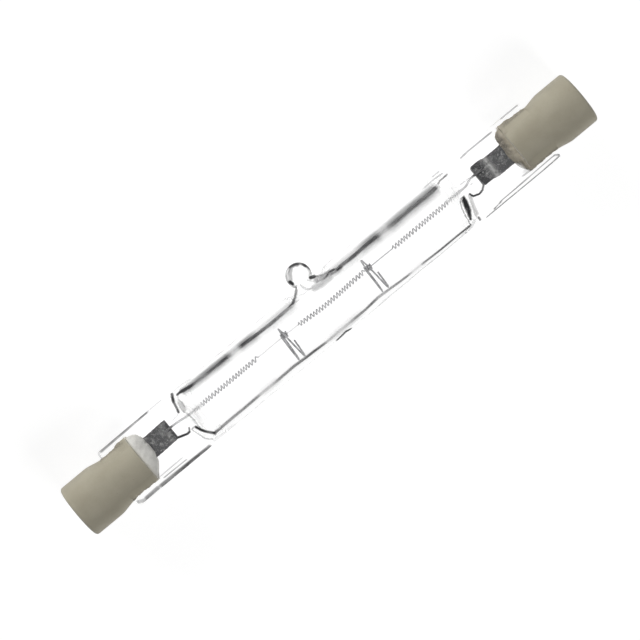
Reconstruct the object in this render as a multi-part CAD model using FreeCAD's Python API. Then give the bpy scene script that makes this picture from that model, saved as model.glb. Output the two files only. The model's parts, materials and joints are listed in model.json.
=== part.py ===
import FreeCAD, Part

import math
import os

Vector = FreeCAD.Vector

# A double-ended linear halogen lamp, in millimetres.
# While it is built, x runs along the lamp, y towards the exhaust tip and z square to the flat pinches.
# At the end the whole lamp is rolled about x until it lies on its tube and its exhaust tip.

# Overall and caps
overall_length = 78.3
cap_radius = 3.55
cap_length = 10.1
cap_straight = 4.0
cap_taper = 2.0
prong_radius = 3.2
cap_corner = 0.35
recess_depth = 1.7
recess_radius = 1.8
recess_chamfer = 0.2

# Contact buttons
button_radius = 1.5
button_thickness = 0.6
button_clearance = 0.03
button_edge = 0.2
stem_radius = 0.7
stem_length = 2.2
stem_clearance = 0.08
stem_bore_clearance = 0.02

# Quartz envelope
tube_radius = 4.0
tube_wall = 0.95
blade_spread = 0.1
blade_in_cap = 3.8
rib_half_thickness = 1.5
rib_round = 0.28
rib_width = 0.6
rib_slope = 0.5
rib_end_round = 0.35
web_half_thickness = 1.0
web_length = 9.85
web_corner = 0.8
pinch_length = {"left": 13.05, "right": 13.85}
shoulder_length = 2.8
cavity_past_shoulder = {"left": 2.2, "right": 1.9}
cavity_shoulder = 1.8
cavity_wall_gap = 1.3
pocket_half_width = 1.05
pocket_half_height = 0.45
pocket_before_blade_end = {"left": 8.95, "right": 9.65}
pocket_overlap = 0.2
bore_clear = 0.05

# Exhaust tip
tip_position = -0.6
tip_ball_radius = 1.6
tip_height = 2.6
tip_neck_radius = 1.25
tip_flare_radius = 2.0
tip_flare_height = 0.7
tip_flare_knee = 0.15
capillary_mouth = 0.55
capillary_height = 1.5
capillary_end = 0.12
capillary_root = 0.4

# Sealing foils
foil_before_blade_end = {"left": 8.75, "right": 9.45}
foil_offset = {"left": 0.5, "right": 0.3}
foil_length = 7.8
foil_width = 2.9
foil_thickness = 0.04
foil_edge_thickness = 0.01
foil_feather = 0.45

# Leads
inner_lead_radius = 0.15
inner_lead_in_tail = 0.8
inner_lead_straight = 0.8
inner_lead_overlap = 1.0
inner_lead_landing = 0.5
inner_lead_weld_height = 0.8
outer_lead_radius = 0.35
outer_lead_overlap = 1.6
outer_lead_reach = 1.3
outer_lead_bend_gap = 0.1
outer_lead_before_stem = 0.3
lead_flat = 0.1
lead_sides = 10

# Filament
filament_wire_radius = 0.075
coil_radius = 0.275
coil_pitch = 0.45
tail_pitch = 0.3
coil_run_in = 0.3
tail_length = {"left": 1.3, "right": 2.2}
tail_before_pocket = {"left": 1.3, "right": 0.1}
leg_to_support = {"left": 4.35, "right": 0.85}
leg_from_support = {"left": 2.25, "right": 3.95}
filament_height = {"left": 0.55, "middle": 0.2, "right": 0.4}
turn_segments = 7
filament_sides = 4

# Filament supports
support_positions = {"left": -6.45, "right": 6.45}
support_wire_radius = 0.11
grip_clearance = 0.11
ring_clearance = 0.05
grip_turns = 3
grip_pitch = 0.26
spiral_turns = 0.5
ring_radius = 2.25
ring_turns = 1.25
ring_pitch = 0.95
support_segments = 16
support_sides = 4

# Cement
cement_gap = 0.25
cement_margin = 0.1
bead_reach = {"left": 1.7, "right": 0.8}
bead_half_width = {"left": 3.05, "right": 2.8}
bead_offset = {"left": 0.3, "right": 0.0}
bead_rise = 0.95
bead_round = 0.7
bead_levels = (1.0, 0.75, 0.25)

# Drawing aids: where a sloped line bends, and how far a cutting shape stands clear
slope_run_share = 0.35
slope_drop_share = 0.12
cut_margin = 0.5

sides = {"left": -1, "right": 1}
half_length = overall_length / 2
contact_face = half_length - recess_depth
button_seat = contact_face - button_thickness
cap_inner_end = half_length - cap_length
blade_end = cap_inner_end + blade_in_cap
blade_half_width = tube_radius + blade_spread
shoulder_start = {side: blade_end - pinch_length[side] for side in sides}
cavity_end = {side: shoulder_start[side] + cavity_past_shoulder[side] for side in sides}
web_start = blade_end - web_length
pocket_end = {side: blade_end - pocket_before_blade_end[side] for side in sides}
foil_inner_end = {side: blade_end - foil_before_blade_end[side] for side in sides}
tail_end = {side: cavity_end[side] - tail_before_pocket[side] for side in sides}
slot_end = blade_end + cement_gap
slot_half_height = web_half_thickness + cement_gap
bore_radius = tube_radius - tube_wall
tip_ball_offset = tube_radius + tip_height - tip_ball_radius


def unit(vector):
    """The vector's direction, as a new vector of length one."""
    return vector * (1 / vector.Length)


def arc(centre, radius, start_angle, end_angle):
    """A circular arc in the x and y of a drawing, by its centre and its two angles in degrees."""
    def point(angle):
        a = math.radians(angle)
        return Vector(centre[0] + radius * math.cos(a), centre[1] + radius * math.sin(a), 0)
    return Part.Arc(point(start_angle), point((start_angle + end_angle) / 2), point(end_angle)).toShape()


def line(start, end):
    """A straight edge in the x and y of a drawing."""
    return Part.makeLine(Vector(*start, 0), Vector(*end, 0))


def step_down(x_start, y_start, x_end, y_end):
    """Two equal arcs that leave one level and arrive tangent at a lower one."""
    drop = y_start - y_end
    run = x_end - x_start
    radius = (run**2 + drop**2) / (4 * drop)
    swing = math.degrees(math.acos(1 - drop / (2 * radius)))
    return [
        arc((x_start, y_start - radius), radius, 90, 90 - swing),
        arc((x_end, y_end + radius), radius, 270 - swing, 270),
    ]


def rounded(centre, radius, start_angle, end_angle, parts):
    """A round corner in a few straight pieces, which keeps small turned edges light."""
    corners = []
    for k in range(parts + 1):
        a = math.radians(start_angle + (end_angle - start_angle) * k / parts)
        corners.append((centre[0] + radius * math.cos(a), centre[1] + radius * math.sin(a)))
    return [line(p, q) for p, q in zip(corners, corners[1:])]


def slope_down(x_start, y_start, x_end, y_end):
    """Three straight pieces from one level to a lower one, steepest in the middle."""
    ease = (slope_run_share * (x_end - x_start), slope_drop_share * (y_start - y_end))
    corners = [(x_start, y_start), (x_start + ease[0], y_start - ease[1]),
               (x_end - ease[0], y_end + ease[1]), (x_end, y_end)]
    return [line(p, q) for p, q in zip(corners, corners[1:])]


def face_of(edges):
    """A flat face inside edges given in order."""
    return Part.Face(Part.Wire(edges))


def upright(shape):
    """Turn a drawing's y to the lamp's z, for outlines seen from the narrow side."""
    return shape.rotate(Vector(0, 0, 0), Vector(1, 0, 0), 90)


def revolve_about_x(shape):
    return shape.revolve(Vector(0, 0, 0), Vector(1, 0, 0), 360)


def block(x, y, z):
    """A box between two values on each axis."""
    return Part.makeBox(x[1] - x[0], y[1] - y[0], z[1] - z[0], Vector(x[0], y[0], z[0]))


def to_side(shape, side):
    """Everything for an end is drawn at the right one and mirrored for the left one."""
    return shape if side == "right" else shape.mirror(Vector(0, 0, 0), Vector(1, 0, 0))


def bent_wire(points, radius, corners):
    """A wire of many-cornered section along straight runs, mitred at each bend to keep its faces flat."""
    along = unit(points[1] - points[0])
    no_wire_runs_so = Vector(0.3, 0.2, 1)
    across = unit(along.cross(no_wire_runs_so))
    up = along.cross(across)
    ring = []
    for k in range(corners):
        a = 2 * math.pi * k / corners
        ring.append(points[0] + across * (radius * math.cos(a)) + up * (radius * math.sin(a)))
    faces = [Part.Face(Part.makePolygon(ring + ring[:1]))]
    for i in range(1, len(points)):
        run = unit(points[i] - points[i - 1])
        after = unit(points[i + 1] - points[i]) if i + 1 < len(points) else run
        mitre = unit(run + after)
        further = [c + run * ((points[i] - c).dot(mitre) / run.dot(mitre)) for c in ring]
        for k in range(corners):
            m = (k + 1) % corners
            faces.append(Part.Face(Part.makePolygon([ring[k], ring[m], further[m], further[k], ring[k]])))
        ring = further
    faces.append(Part.Face(Part.makePolygon(ring + ring[:1])))
    shell = Part.makeShell(faces)
    shell.sewShape()
    solid = Part.makeSolid(shell)
    if solid.Volume < 0:
        solid.reverse()
    return solid


def equal_area_radius(radius, corners):
    """The corner radius at which a regular polygon has the round wire's cross-section."""
    return radius * math.sqrt(2 * math.pi / (corners * math.sin(2 * math.pi / corners)))


def outer_side_view(side):
    """Half of the envelope seen from the narrow side: the tube, the pressed shoulder and the blade."""
    start = shoulder_start[side]
    end = start + shoulder_length
    edges = [line((0, 0), (0, tube_radius)), line((0, tube_radius), (start, tube_radius))]
    edges += step_down(start, tube_radius, end, rib_half_thickness)
    edges += [
        line((end, rib_half_thickness), (blade_end, rib_half_thickness)),
        line((blade_end, rib_half_thickness), (blade_end, 0)),
        line((blade_end, 0), (0, 0)),
    ]
    half = upright(face_of(edges)).extrude(Vector(0, -4 * tube_radius, 0))
    half.translate(Vector(0, 2 * tube_radius, 0))
    return half.fuse(half.mirror(Vector(0, 0, 0), Vector(0, 0, 1))).removeSplitter()


def blade_bar(side):
    """The pinched bar: rounded edges in section, and rounded ends on its two ribs."""
    start = shoulder_start[side]
    bar = block((start, blade_end), (-blade_half_width, blade_half_width),
                (-rib_half_thickness, rib_half_thickness))
    long_edges = [e for e in bar.Edges if abs(e.tangentAt(e.FirstParameter).x) > 0.9]
    bar = bar.makeFillet(rib_round, long_edges)
    width = blade_half_width
    reach = blade_end - rib_end_round
    in_tube = math.sqrt(tube_radius**2 - rib_half_thickness**2)
    edges = [
        line((0, 0), (0, in_tube)),
        line((0, in_tube), (start, in_tube)),
        line((start, in_tube), (start + shoulder_length, width)),
        line((start + shoulder_length, width), (reach, width)),
        arc((reach, width - rib_end_round), rib_end_round, 90, 0),
        line((blade_end, width - rib_end_round), (blade_end, 0)),
        line((blade_end, 0), (0, 0)),
    ]
    half = face_of(edges).extrude(Vector(0, 0, 4 * rib_half_thickness))
    half.translate(Vector(0, 0, -2 * rib_half_thickness))
    outline = half.fuse(half.mirror(Vector(0, 0, 0), Vector(0, 1, 0))).removeSplitter()
    return bar.common(outline)


def web_recess():
    """The shallow tray between the ribs, with sloping sides, open at the blade's end."""
    def tray(half_width, start, height):
        far = blade_end + cut_margin
        corner = web_corner
        edges = [
            line((start + corner, half_width), (far, half_width)),
            line((far, half_width), (far, -half_width)),
            line((far, -half_width), (start + corner, -half_width)),
            arc((start + corner, corner - half_width), corner, 270, 180),
            line((start, corner - half_width), (start, half_width - corner)),
            arc((start + corner, half_width - corner), corner, 180, 90),
        ]
        wire = Part.Wire(edges)
        wire.translate(Vector(0, 0, height))
        return wire
    depth = rib_half_thickness - web_half_thickness
    top_half_width = blade_half_width - rib_width
    growth = rib_slope / depth
    low = tray(top_half_width - rib_slope, web_start, web_half_thickness)
    high = tray(top_half_width + cut_margin * growth, web_start - rib_slope - cut_margin * growth,
                rib_half_thickness + cut_margin)
    upper = Part.makeLoft([low, high], True, True)
    return upper.fuse(upper.mirror(Vector(0, 0, 0), Vector(0, 0, 1)))


def cavity(side):
    """Half of the gas space: the bore, its shoulder and the flat pocket that the lead passes through."""
    end = cavity_end[side]
    start = end - cavity_shoulder
    edges = [line((0, 0), (0, bore_radius)), line((0, bore_radius), (start, bore_radius))]
    edges += slope_down(start, bore_radius, end, pocket_half_width)
    edges += [line((end, pocket_half_width), (end, 0)), line((end, 0), (0, 0))]
    round_space = revolve_about_x(face_of(edges))
    pressed_end = shoulder_start[side] + shoulder_length - cavity_wall_gap
    pressed_start = pressed_end - cavity_shoulder
    height = bore_radius + bore_clear
    edges = [line((0, 0), (0, height)), line((0, height), (pressed_start, height))]
    edges += slope_down(pressed_start, height, pressed_end, pocket_half_height)
    edges += [
        line((pressed_end, pocket_half_height), (pocket_end[side], pocket_half_height)),
        line((pocket_end[side], pocket_half_height), (pocket_end[side], 0)),
        line((pocket_end[side], 0), (0, 0)),
    ]
    half = upright(face_of(edges)).extrude(Vector(0, -4 * tube_radius, 0))
    half.translate(Vector(0, 2 * tube_radius, 0))
    pressed = half.fuse(half.mirror(Vector(0, 0, 0), Vector(0, 0, 1)))
    return round_space.common(pressed).fuse(pocket(side, end - pocket_overlap))


def pocket(side, start):
    """The flat, round-ended pocket in the pinch, past the shoulder of the bore."""
    turn = pocket_end[side] - pocket_half_width
    edges = [
        line((start, -pocket_half_width), (turn, -pocket_half_width)),
        arc((turn, 0), pocket_half_width, -90, 90),
        line((turn, pocket_half_width), (start, pocket_half_width)),
        line((start, pocket_half_width), (start, -pocket_half_width)),
    ]
    slot = face_of(edges).extrude(Vector(0, 0, 2 * pocket_half_height))
    slot.translate(Vector(0, 0, -pocket_half_height))
    return slot


def turned_on_tip(edges):
    """Turn an outline of radius and height about the exhaust tip's own axis."""
    solid = face_of(edges).revolve(Vector(0, 0, 0), Vector(0, 1, 0), 360)
    solid.translate(Vector(tip_position, 0, 0))
    return solid


def exhaust_tip():
    """The melted-off stub of the exhaust tube: a flared foot, a neck and a ball."""
    foot = tube_radius - tip_flare_height
    meet = tip_ball_offset - math.sqrt(tip_ball_radius**2 - tip_neck_radius**2)
    angle = math.degrees(math.atan2(meet - tip_ball_offset, tip_neck_radius))
    knee = (tip_neck_radius + tip_flare_knee, tube_radius - tip_flare_knee)
    edges = [
        line((0, foot), (tip_flare_radius, foot)),
        line((tip_flare_radius, foot), knee),
        line(knee, (tip_neck_radius, meet)),
        arc((0, tip_ball_offset), tip_ball_radius, angle, 90),
        line((0, tip_ball_offset + tip_ball_radius), (0, foot)),
    ]
    return turned_on_tip(edges)


def capillary():
    """The funnel that is left of the exhaust hole, from the bore up into the tip."""
    low = bore_radius - capillary_root
    top = bore_radius + capillary_height
    edges = [
        line((0, low), (capillary_mouth, low)),
        line((capillary_mouth, low), (capillary_mouth, bore_radius)),
        line((capillary_mouth, bore_radius), (capillary_end, top)),
        line((capillary_end, top), (0, top)),
        line((0, top), (0, low)),
    ]
    return turned_on_tip(edges)


def seal_foil(side):
    """The thin foil in the pinch, thinned towards its long edges."""
    half = foil_width / 2
    flat = half - foil_feather
    thick = foil_thickness / 2
    thin = foil_edge_thickness / 2
    section = [(half, -thin), (half, thin), (flat, thick), (-flat, thick),
               (-half, thin), (-half, -thin), (-flat, -thick), (flat, -thick)]
    start = foil_inner_end[side]
    corners = [Vector(start, y + foil_offset[side], z) for y, z in section]
    foil = Part.Face(Part.makePolygon(corners + corners[:1])).extrude(Vector(foil_length, 0, 0))
    return to_side(foil, side)


def below_foil_face(start, end):
    """Everything below a foil's upper face, which flattens the wire that is welded on it."""
    return block((start, end), (-foil_width, foil_width), (-foil_width, foil_thickness / 2))


def inner_lead(side):
    """The wire from the foil through the pocket into the end of the filament."""
    weld = foil_inner_end[side]
    level = filament_height[side]
    height = foil_thickness / 2 + inner_lead_radius - lead_flat / 2
    path = [
        Vector(tail_end[side] - inner_lead_in_tail, level, 0),
        Vector(tail_end[side] + inner_lead_straight, level, 0),
        Vector(weld - inner_lead_landing, inner_lead_weld_height, height),
        Vector(weld + inner_lead_overlap, inner_lead_weld_height, height),
    ]
    lead = bent_wire(path, inner_lead_radius, lead_sides)
    return to_side(lead.cut(below_foil_face(weld, weld + 2 * inner_lead_overlap)), side)


def outer_lead(side):
    """The rod from the foil, out of the blade's end and into the contact's stem."""
    weld = foil_inner_end[side] + foil_length
    height = foil_thickness / 2 + outer_lead_radius - lead_flat
    stem_end = button_seat - stem_length
    path = [
        Vector(weld - outer_lead_overlap, 0, height),
        Vector(slot_end + outer_lead_bend_gap, 0, height),
        Vector(stem_end - outer_lead_before_stem, 0, 0),
        Vector(stem_end + outer_lead_reach, 0, 0),
    ]
    rod = bent_wire(path, outer_lead_radius, lead_sides)
    return to_side(rod.cut(below_foil_face(weld - 2 * outer_lead_overlap, weld)), side)


def quartz_envelope(sealed_in):
    """The blown and pinched quartz body, around everything that is sealed into it."""
    outside = None
    for side in sides:
        reach = shoulder_start[side] + shoulder_length
        tube = Part.makeCylinder(tube_radius, reach, Vector(0, 0, 0), Vector(1, 0, 0))
        half = tube.fuse(blade_bar(side)).common(outer_side_view(side))
        half = to_side(half.cut(web_recess()), side)
        outside = outside.fuse(half) if outside else half
    outside = outside.fuse(exhaust_tip()).removeSplitter()
    inside = to_side(cavity("left"), "left").fuse(cavity("right")).fuse(capillary()).removeSplitter()
    body = outside.cut(inside)
    return body.cut(sealed_in)


def ceramic_cap(side):
    """The turned steatite cap: a recess for the contact at one end, a slot for the blade at the other."""
    straight_end = half_length - cap_straight
    taper_end = straight_end - cap_taper
    top = half_length - cap_corner
    hole = stem_radius + stem_clearance
    mouth = recess_radius + recess_chamfer
    seat = button_radius + button_clearance
    hole_end = slot_end - cut_margin
    edges = [
        line((cap_inner_end, 0), (cap_inner_end, prong_radius)),
        line((cap_inner_end, prong_radius), (taper_end, prong_radius)),
        line((taper_end, prong_radius), (straight_end, cap_radius)),
        line((straight_end, cap_radius), (top, cap_radius)),
        *rounded((top, cap_radius - cap_corner), cap_corner, 90, 0, 2),
        line((half_length, cap_radius - cap_corner), (half_length, mouth)),
        line((half_length, mouth), (half_length - recess_chamfer, recess_radius)),
        line((half_length - recess_chamfer, recess_radius), (contact_face, recess_radius)),
        line((contact_face, recess_radius), (contact_face, seat)),
        line((contact_face, seat), (button_seat, seat)),
        line((button_seat, seat), (button_seat, hole)),
        line((button_seat, hole), (hole_end, hole)),
        line((hole_end, hole), (hole_end, 0)),
        line((hole_end, 0), (cap_inner_end, 0)),
    ]
    body = revolve_about_x(face_of(edges))
    slot = block((cap_inner_end - cut_margin, slot_end), (-cap_radius, cap_radius),
                 (-slot_half_height, slot_half_height))
    return to_side(body.cut(slot), side)


def contact_button(side):
    """The contact: a domed disc on a hollow stem that is crimped on the lead."""
    radius = button_radius
    stem_end = button_seat - stem_length
    bore = outer_lead_radius + stem_bore_clearance
    depth = stem_end + outer_lead_reach
    edges = [
        line((depth, 0), (depth, bore)),
        line((depth, bore), (stem_end, bore)),
        line((stem_end, bore), (stem_end, stem_radius)),
        line((stem_end, stem_radius), (button_seat, stem_radius)),
        line((button_seat, stem_radius), (button_seat, radius)),
        line((button_seat, radius), (contact_face - button_edge, radius)),
        line((contact_face - button_edge, radius), (contact_face, radius - button_edge)),
        line((contact_face, radius - button_edge), (contact_face, 0)),
        line((contact_face, 0), (depth, 0)),
    ]
    return to_side(revolve_about_x(face_of(edges)), side)


def bead_outline(side, share):
    """One level of the pushed-out bead: a round-cornered tongue that shrinks as it rises from the blade."""
    reach = bead_reach[side]
    height = web_half_thickness + bead_rise * reach * math.sqrt(1 - share**2)
    far = cap_inner_end - reach * share
    near = cap_inner_end + cement_gap
    half = bead_half_width[side] - reach * (1 - share)
    corner = bead_round * reach * share
    edges = [
        line((near, half), (far + corner, half)),
        *rounded((far + corner, half - corner), corner, 90, 180, 3),
        line((far, half - corner), (far, corner - half)),
        *rounded((far + corner, corner - half), corner, 180, 270, 3),
        line((far + corner, -half), (near, -half)),
        line((near, -half), (near, half)),
    ]
    wire = Part.Wire(edges)
    wire.translate(Vector(0, bead_offset[side], height))
    return wire


def cement(side, sealed):
    """The cement in the cap's slot, with the bead that it pushed out along both faces of the blade."""
    filled = prong_radius - cement_margin
    core = Part.makeCylinder(filled, slot_end - cap_inner_end, Vector(cap_inner_end, 0, 0), Vector(1, 0, 0))
    slot = block((cap_inner_end, slot_end), (-cap_radius, cap_radius),
                 (-slot_half_height, slot_half_height))
    fill = core.common(slot)
    bead = Part.makeLoft([bead_outline(side, share) for share in bead_levels], True, True)
    bead = bead.common(block((0, cap_inner_end), (-cap_radius, cap_radius), (0, cap_radius)))
    beads = bead.fuse(bead.mirror(Vector(0, 0, 0), Vector(0, 0, 1)))
    paste = to_side(fill.fuse(beads).removeSplitter(), side)
    return paste.cut(sealed)


def level_at(x):
    """How far the filament's line lies from the tube's axis, towards the tip, along the lamp."""
    left, middle, right = (filament_height[k] for k in ("left", "middle", "right"))
    slack = math.cos(math.pi * min(abs(x) / support_positions["right"], 2) / 2) ** 2
    end = left if x < 0 else right
    if abs(x) > support_positions["right"]:
        return end
    return end + (middle - end) * slack


def on_line(x):
    """A point of the filament's straight legs."""
    return Vector(x, level_at(x), 0)


def coil_points(start, end, pitch):
    """Whole turns of a coiled stretch, from one of its ends up to but not including the other."""
    steps = round((end - start) / pitch) * turn_segments
    points = []
    for k in range(steps):
        a = 2 * math.pi * k / turn_segments
        points.append(on_line(start + (end - start) * k / steps)
                      + Vector(0, coil_radius * math.cos(a), coil_radius * math.sin(a)))
    return points


def filament():
    """One tungsten wire: three coiled stretches, straight held legs, and a finer coil on each lead."""
    first = -tail_end["left"] + tail_length["left"]
    last = tail_end["right"] - tail_length["right"]
    points = coil_points(-tail_end["left"], first, tail_pitch)
    start = first
    for side, held in support_positions.items():
        end = held - leg_to_support[side]
        points += coil_points(start, end, coil_pitch)
        start = held + leg_from_support[side]
        points += [on_line(end + coil_run_in), on_line(held), on_line(start - coil_run_in)]
    points += coil_points(start, last, coil_pitch)
    points += coil_points(last, tail_end["right"], tail_pitch)
    return bent_wire(points, equal_area_radius(filament_wire_radius, filament_sides), filament_sides)


def filament_support(side):
    """A wire that grips the filament's leg in a few tight turns, then swings out to a ring.
    The ring stands on the bore's wall with both its low ends."""
    middle = support_positions[side]
    level = level_at(middle)
    grip = filament_wire_radius + support_wire_radius + grip_clearance
    ring_level = -(bore_radius - ring_radius - support_wire_radius - ring_clearance)
    grip_width = grip_turns * grip_pitch
    points = []
    for k in range(grip_turns * turn_segments):
        x = middle + grip_width / 2 - grip_pitch * k / turn_segments
        a = 2 * math.pi * k / turn_segments
        points.append(Vector(x, level + grip * math.cos(a), grip * math.sin(a)))
    ring_start = middle - ring_pitch * ring_turns / 2
    spiral_steps = round(spiral_turns * support_segments)
    for k in range(spiral_steps):
        share = k / spiral_steps
        x = middle - grip_width / 2 + (ring_start - middle + grip_width / 2) * share
        a = 2 * math.pi * spiral_turns * share
        radius = grip + (ring_radius - grip) * share
        centre = level + (ring_level - level) * share
        points.append(Vector(x, centre + radius * math.cos(a), radius * math.sin(a)))
    ring_steps = round(ring_turns * support_segments)
    for k in range(ring_steps + 1):
        a = 2 * math.pi * (spiral_turns + k / support_segments)
        x = ring_start + ring_pitch * k / support_segments
        points.append(Vector(x, ring_level + ring_radius * math.cos(a), ring_radius * math.sin(a)))
    return bent_wire(points, equal_area_radius(support_wire_radius, support_sides), support_sides)


def laid_down(nodes):
    """Roll the lamp until its exhaust tip touches the ground, and centre it over its own outline."""
    roll = math.degrees(math.asin((tube_radius - tip_ball_radius) / tip_ball_offset))
    for shape in nodes.values():
        shape.rotate(Vector(0, 0, 0), Vector(1, 0, 0), -roll)
        shape.translate(Vector(0, 0, tube_radius))
    box = nodes["quartz_envelope"].optimalBoundingBox(False, False)
    middle = (box.YMin + box.YMax) / 2
    for shape in nodes.values():
        shape.translate(Vector(0, -middle, 0))
    print("roll", round(roll, 4), "lamp axis at y", round(-middle, 5), "z", tube_radius)
    return nodes


def build():
    nodes = {}
    for side in sides:
        nodes["seal_foil_" + side] = seal_foil(side)
        nodes["inner_lead_" + side] = inner_lead(side)
        nodes["outer_lead_" + side] = outer_lead(side)
    envelope = quartz_envelope(list(nodes.values()))
    nodes["quartz_envelope"] = envelope
    for side in sides:
        held = [envelope, nodes["outer_lead_" + side], nodes["seal_foil_" + side]]
        nodes["cement_" + side] = cement(side, held)
        nodes["ceramic_cap_" + side] = ceramic_cap(side)
        nodes["contact_button_" + side] = contact_button(side)
        nodes["filament_support_" + side] = filament_support(side)
    nodes["filament"] = filament()
    return laid_down(nodes)


os.makedirs("parts", exist_ok=True)
for name, shape in build().items():
    shape.exportStep("parts/" + name + ".step")
    box = shape.BoundBox
    print(name, "solids", len(shape.Solids), "valid", shape.isValid(), "volume", round(shape.Volume, 4),
          "x", round(box.XMin, 2), round(box.XMax, 2))
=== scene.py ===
# %% [markdown]
# # A double-ended halogen lamp, dressed for the studio
# The frame below is the CAD model. It fixes every size and place, and this lesson adds what
# a camera sees: smooth quartz with its pinches, a wound filament, rough cement and matte ceramic.

# %% Load the frame
import json
import math

import bmesh
import bpy
import numpy as np
from mathutils import Matrix, Vector


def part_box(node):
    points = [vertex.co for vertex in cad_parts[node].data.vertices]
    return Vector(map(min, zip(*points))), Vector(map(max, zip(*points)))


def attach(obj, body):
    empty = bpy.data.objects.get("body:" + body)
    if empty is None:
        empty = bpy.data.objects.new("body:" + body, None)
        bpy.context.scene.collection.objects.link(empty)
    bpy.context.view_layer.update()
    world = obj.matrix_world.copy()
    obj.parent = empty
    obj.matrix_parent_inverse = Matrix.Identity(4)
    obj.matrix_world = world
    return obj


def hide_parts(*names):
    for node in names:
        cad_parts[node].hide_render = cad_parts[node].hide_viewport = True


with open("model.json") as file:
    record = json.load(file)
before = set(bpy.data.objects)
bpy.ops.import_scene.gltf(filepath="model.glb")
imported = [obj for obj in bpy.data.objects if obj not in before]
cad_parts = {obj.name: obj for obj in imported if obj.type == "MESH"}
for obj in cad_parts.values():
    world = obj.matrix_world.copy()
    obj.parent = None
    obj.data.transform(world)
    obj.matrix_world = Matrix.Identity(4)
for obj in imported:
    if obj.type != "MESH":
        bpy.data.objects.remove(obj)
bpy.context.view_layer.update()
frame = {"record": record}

# %% [markdown]
# ## Directions
# The lamp lies on its tube and on the stub of its exhaust tube, so it is rolled a little about its
# own length. All pieces are worked out in the lamp's own directions in millimetres: x along it,
# s towards the tip, f square to the flat pinches. One function then lays them down in metres, so
# that every object can stay at the origin with its place in its mesh. The lamp's middle line comes
# from the record's mounts, and it lies one tube radius above the ground.

# %% Lamp directions
MM = 0.001
mounts = {mount["name"]: mount for mount in frame["record"]["mounts"]}
AXIS = np.array([0.0, *mounts["cap_right"]["pos_m"][1:]]) / MM
TUBE_RADIUS = AXIS[2]
TIP_X, TIP_BALL_RADIUS, TIP_BALL_OFFSET = -0.6, 1.6, 5.0
ROLL = math.asin((TUBE_RADIUS - TIP_BALL_RADIUS) / TIP_BALL_OFFSET)
ALONG = np.array([1.0, 0.0, 0.0])
TIPWARDS = np.array([0.0, math.cos(ROLL), -math.sin(ROLL)])
FACING = np.array([0.0, math.sin(ROLL), math.cos(ROLL)])


def laid(points):
    """Lamp points (x, s, f) in millimetres as places in the frame in metres."""
    return (AXIS + np.asarray(points, float) @ np.array([ALONG, TIPWARDS, FACING])) * MM


print("roll in degrees:", round(math.degrees(ROLL), 3))

# %% [markdown]
# ## Lengths from the frame
# What repeats at both ends is drawn once and mirrored, so most values count outwards from the lamp's
# middle. -1 stands for the left end and 1 for the right one. The places where pieces start and end
# are read from the CAD pieces' own boxes.

# %% Lengths
SIDES = ((-1, "left"), (1, "right"))


def reach_of(node):
    """How far from the lamp's middle a CAD piece starts and ends, to the micrometre."""
    low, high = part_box(node)
    return sorted(round(abs(x) / MM, 3) for x in (low.x, high.x))


CAP_START, HALF_LENGTH = reach_of("ceramic_cap_right")
STEM_END, CONTACT_FACE = reach_of("contact_button_right")
BLADE_END = reach_of("quartz_envelope")[1]
FOIL_START = {side: reach_of("seal_foil_" + word)[0] for side, word in SIDES}
FOIL_END = {side: reach_of("seal_foil_" + word)[1] for side, word in SIDES}
CAP_RADIUS = mounts["cap_right"]["dims"]["r_mm"]
RECESS_RADIUS = mounts["contact_recess_right"]["dims"]["r_mm"]
print("cap from", round(CAP_START, 3), "to", round(HALF_LENGTH, 3), "blade to", round(BLADE_END, 3))

# %% [markdown]
# ## From points to pieces
# Smooth turned and drawn shapes are easiest to control as plain grids of points. This cell turns
# such grids into closed shells. The signed volume tells whether the faces look outwards.

# %% Shells of points and faces
def signed_volume(points, faces):
    """Volume of a closed shell, negative if its faces look inwards."""
    total = 0.0
    for face in faces:
        a = points[face[0]]
        for i in range(1, len(face) - 1):
            total += np.dot(a, np.cross(points[face[i]], points[face[i + 1]])) / 6
    return total


def facing_out(points, faces, inwards=False):
    """The faces, turned so that a closed shell looks outwards, or inwards for a hollow."""
    if (signed_volume(points, faces) < 0) != inwards:
        return [tuple(reversed(face)) for face in faces]
    return faces


def tube_faces(rings, around, first=0):
    """Quads between rings of points that each go once around."""
    return [(first + r * around + k, first + r * around + (k + 1) % around,
             first + (r + 1) * around + (k + 1) % around, first + (r + 1) * around + k)
            for r in range(rings - 1) for k in range(around)]


def end_faces(count, around):
    """The flat faces that close the first and the last ring of a tube with so many points."""
    return [tuple(range(around)), tuple(reversed(range(count - around, count)))]


def join_shells(*shells):
    """Several (points, faces) as one."""
    points, faces, first = [], [], 0
    for shell_points, shell_faces in shells:
        points.append(np.asarray(shell_points, float))
        faces += [tuple(first + i for i in face) for face in shell_faces]
        first += len(shell_points)
    return np.vstack(points), faces


print("a ring of 4 points twice gives", len(tube_faces(2, 4)), "faces")

# %% [markdown]
# ## Pieces that know what they stand for
# Every piece rides on the lamp's one body and stands for the CAD piece that it dresses, which is
# hidden. Edges sharper than an angle stay crisp while the rest is shaded smooth. A piece can
# also carry numbers at its points, painted on like a colour, which its finish reads by name. They
# need no flat map of the surface, and so they suit marks whose places are known in millimetres.

# %% Making pieces
def add_object(name, data):
    """A new object of the scene, unturned at the origin."""
    made = bpy.data.objects.new(name, data)
    bpy.context.scene.collection.objects.link(made)
    return made


def finish_piece(piece, stands_for):
    """Ride on the lamp's one body and stand for the CAD nodes, which are hidden."""
    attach(piece, "root")
    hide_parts(*stands_for)
    triangles = sum(len(p.vertices) - 2 for p in piece.data.polygons)
    print(piece.name, "points", len(piece.data.vertices), "triangles", triangles)


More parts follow.
